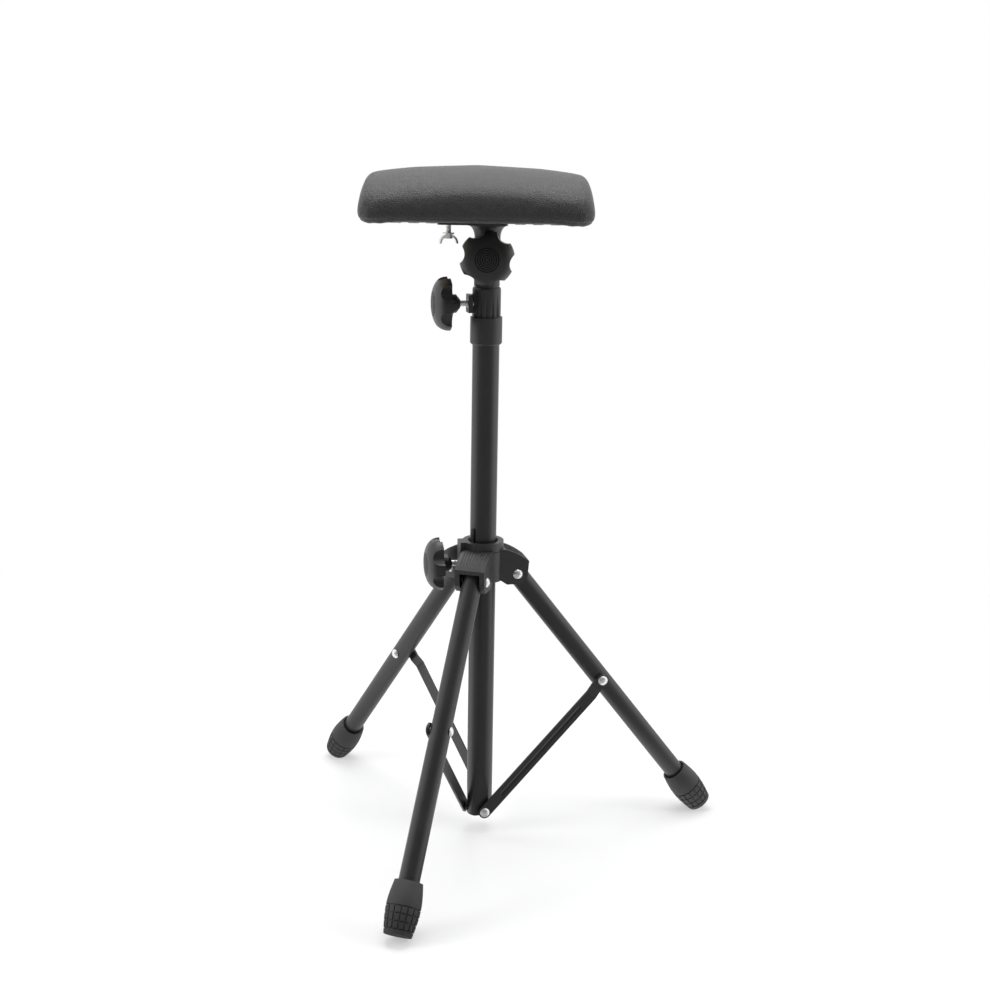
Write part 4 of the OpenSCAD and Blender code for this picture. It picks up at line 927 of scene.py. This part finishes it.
def make_world():
    """White to the camera, the studio to the finishes, and soft light on the rest."""
    scene = bpy.context.scene
    scene.view_settings.view_transform = "Standard"
    world = bpy.data.worlds.new("studio")
    scene.world = world
    world.use_nodes = True
    tree = world.node_tree
    tree.nodes.clear()
    path = add(tree, "ShaderNodeLightPath").outputs
    seen = sums(tree, "MAXIMUM", path["Is Camera Ray"], path["Is Transmission Ray"], clamp=True)
    white = add(tree, "ShaderNodeBackground", {"Color": (1, 1, 1, 1), "Strength": 1.0})
    aimed = add(tree, "ShaderNodeTexCoord").outputs["Generated"]
    towards = add(tree, "ShaderNodeSeparateXYZ", {0: aimed}).outputs["Y"]
    mirror = add(
        tree, "ShaderNodeBackground",
        {"Color": (1, 1, 1, 1), "Strength": mirrored_light(tree, towards, 0.06)})
    around = add(
        tree, "ShaderNodeMapRange",
        {"Value": towards, "From Min": -0.8, "From Max": 0.6, "To Min": 0.16, "To Max": 0.6})
    soft = add(
        tree, "ShaderNodeBackground", {"Color": (0.98, 0.99, 1, 1), "Strength": around.outputs[0]})
    lit = add(
        tree, "ShaderNodeMixShader",
        {0: path["Is Glossy Ray"], 1: soft.outputs[0], 2: mirror.outputs[0]})
    both = add(tree, "ShaderNodeMixShader", {0: seen, 1: lit.outputs[0], 2: white.outputs[0]})
    add(tree, "ShaderNodeOutputWorld", {"Surface": both.outputs[0]})


def make_floor():
    """A pale floor that keeps the shadow, fades to white, and is clear from below."""
    floor_form = bmesh.new()
    bmesh.ops.create_circle(floor_form, cap_ends=True, segments=64, radius=40)
    mesh = bpy.data.meshes.new("studio_floor")
    floor_form.to_mesh(mesh)
    floor_form.free()
    floor = linked("studio_floor", mesh)
    made = bpy.data.materials.new("pale_floor")
    made.use_nodes = True
    tree = made.node_tree
    tree.nodes.clear()
    path = add(tree, "ShaderNodeLightPath").outputs
    place = add(tree, "ShaderNodeTexCoord").outputs["Object"]
    far = add(tree, "ShaderNodeVectorMath", {0: place}, operation="LENGTH").outputs["Value"]
    fade = add(
        tree, "ShaderNodeMapRange",
        {"Value": far, "From Min": 0.25, "From Max": 1.1, "To Min": 0.45, "To Max": 1.0})
    matt = add(tree, "ShaderNodeBsdfDiffuse", {"Color": (0.93, 0.93, 0.93, 1)})
    glow = add(tree, "ShaderNodeEmission", {"Color": (1, 1, 1, 1), "Strength": 1.0})
    seen = add(
        tree, "ShaderNodeMixShader", {0: fade.outputs[0], 1: matt.outputs[0], 2: glow.outputs[0]})
    away = add(tree, "ShaderNodeVectorMath", {0: place}, operation="NORMALIZE").outputs[0]
    towards = add(tree, "ShaderNodeSeparateXYZ", {0: away}).outputs["Y"]
    mirror = add(
        tree, "ShaderNodeEmission",
        {"Color": (1, 1, 1, 1), "Strength": mirrored_light(tree, towards, 0.35)})
    near = add(
        tree, "ShaderNodeMixShader", {0: path["Is Camera Ray"], 1: matt.outputs[0], 2: seen.outputs[0]})
    both = add(
        tree, "ShaderNodeMixShader",
        {0: path["Is Glossy Ray"], 1: near.outputs[0], 2: mirror.outputs[0]})
    below = add(tree, "ShaderNodeNewGeometry").outputs["Backfacing"]
    clear = add(tree, "ShaderNodeBsdfTransparent")
    sided = add(tree, "ShaderNodeMixShader", {0: below, 1: both.outputs[0], 2: clear.outputs[0]})
    add(tree, "ShaderNodeOutputMaterial", {"Surface": sided.outputs[0]})
    mesh.materials.append(made)


def softbox(name, at, to, wide, tall, watts, mirrored=True):
    """A rectangular lamp aimed at a point. The finishes mirror it, or not."""
    lamp = bpy.data.lights.new(name, "AREA")
    lamp.shape, lamp.size, lamp.size_y, lamp.energy = "RECTANGLE", wide, tall, watts
    obj = linked(name, lamp)
    obj.location = at
    obj.rotation_euler = (Vector(to) - Vector(at)).to_track_quat("-Z", "Y").to_euler()
    obj.visible_glossy = mirrored


def make_lamps():
    """A softbox at each side and one above."""
    softbox("softbox_left", (-1.9, -0.5, 1.2), (0, 0, 0.35), 0.7, 1.6, 22, mirrored=False)
    softbox("softbox_right", (1.9, -0.4, 1.1), (0, 0, 0.35), 0.7, 1.6, 18, mirrored=False)
    softbox("softbox_top", (0, 0.35, 2.3), (0, 0, 0.3), 1.6, 1.6, 34)


CAMERA_AT = Vector((4.97, -1417.42, 709.2)) * MM
CAMERA_YAW, CAMERA_PITCH, CAMERA_ROLL = math.radians(0.23), math.radians(14.48), math.radians(0.95)
CAMERA_FOCAL_PX, PHOTO_PX, SENSOR_MM = 1547.48, 990, 36.0


def make_camera():
    """The camera that was fitted to the photograph."""
    flat = math.cos(CAMERA_PITCH)
    ahead = Vector((math.sin(CAMERA_YAW) * flat, math.cos(CAMERA_YAW) * flat, -math.sin(CAMERA_PITCH)))
    level = Vector((math.cos(CAMERA_YAW), -math.sin(CAMERA_YAW), 0))
    upright = level.cross(ahead)
    right = level * math.cos(CAMERA_ROLL) + upright * math.sin(CAMERA_ROLL)
    up = upright * math.cos(CAMERA_ROLL) - level * math.sin(CAMERA_ROLL)
    data = bpy.data.cameras.new("photo_camera")
    data.sensor_width = SENSOR_MM
    data.lens = CAMERA_FOCAL_PX / PHOTO_PX * SENSOR_MM
    data.clip_start, data.clip_end = 0.05, 100
    camera = linked("photo_camera", data)
    camera.matrix_world = Matrix.Translation(CAMERA_AT) @ Matrix((right, up, -ahead)).transposed().to_4x4()
    bpy.context.scene.camera = camera


make_camera()
make_world()
make_floor()
make_lamps()
dress_cad_nodes()
make_pad()
make_threads()
make_hood_ribs()
make_knob_webs()
make_staples()
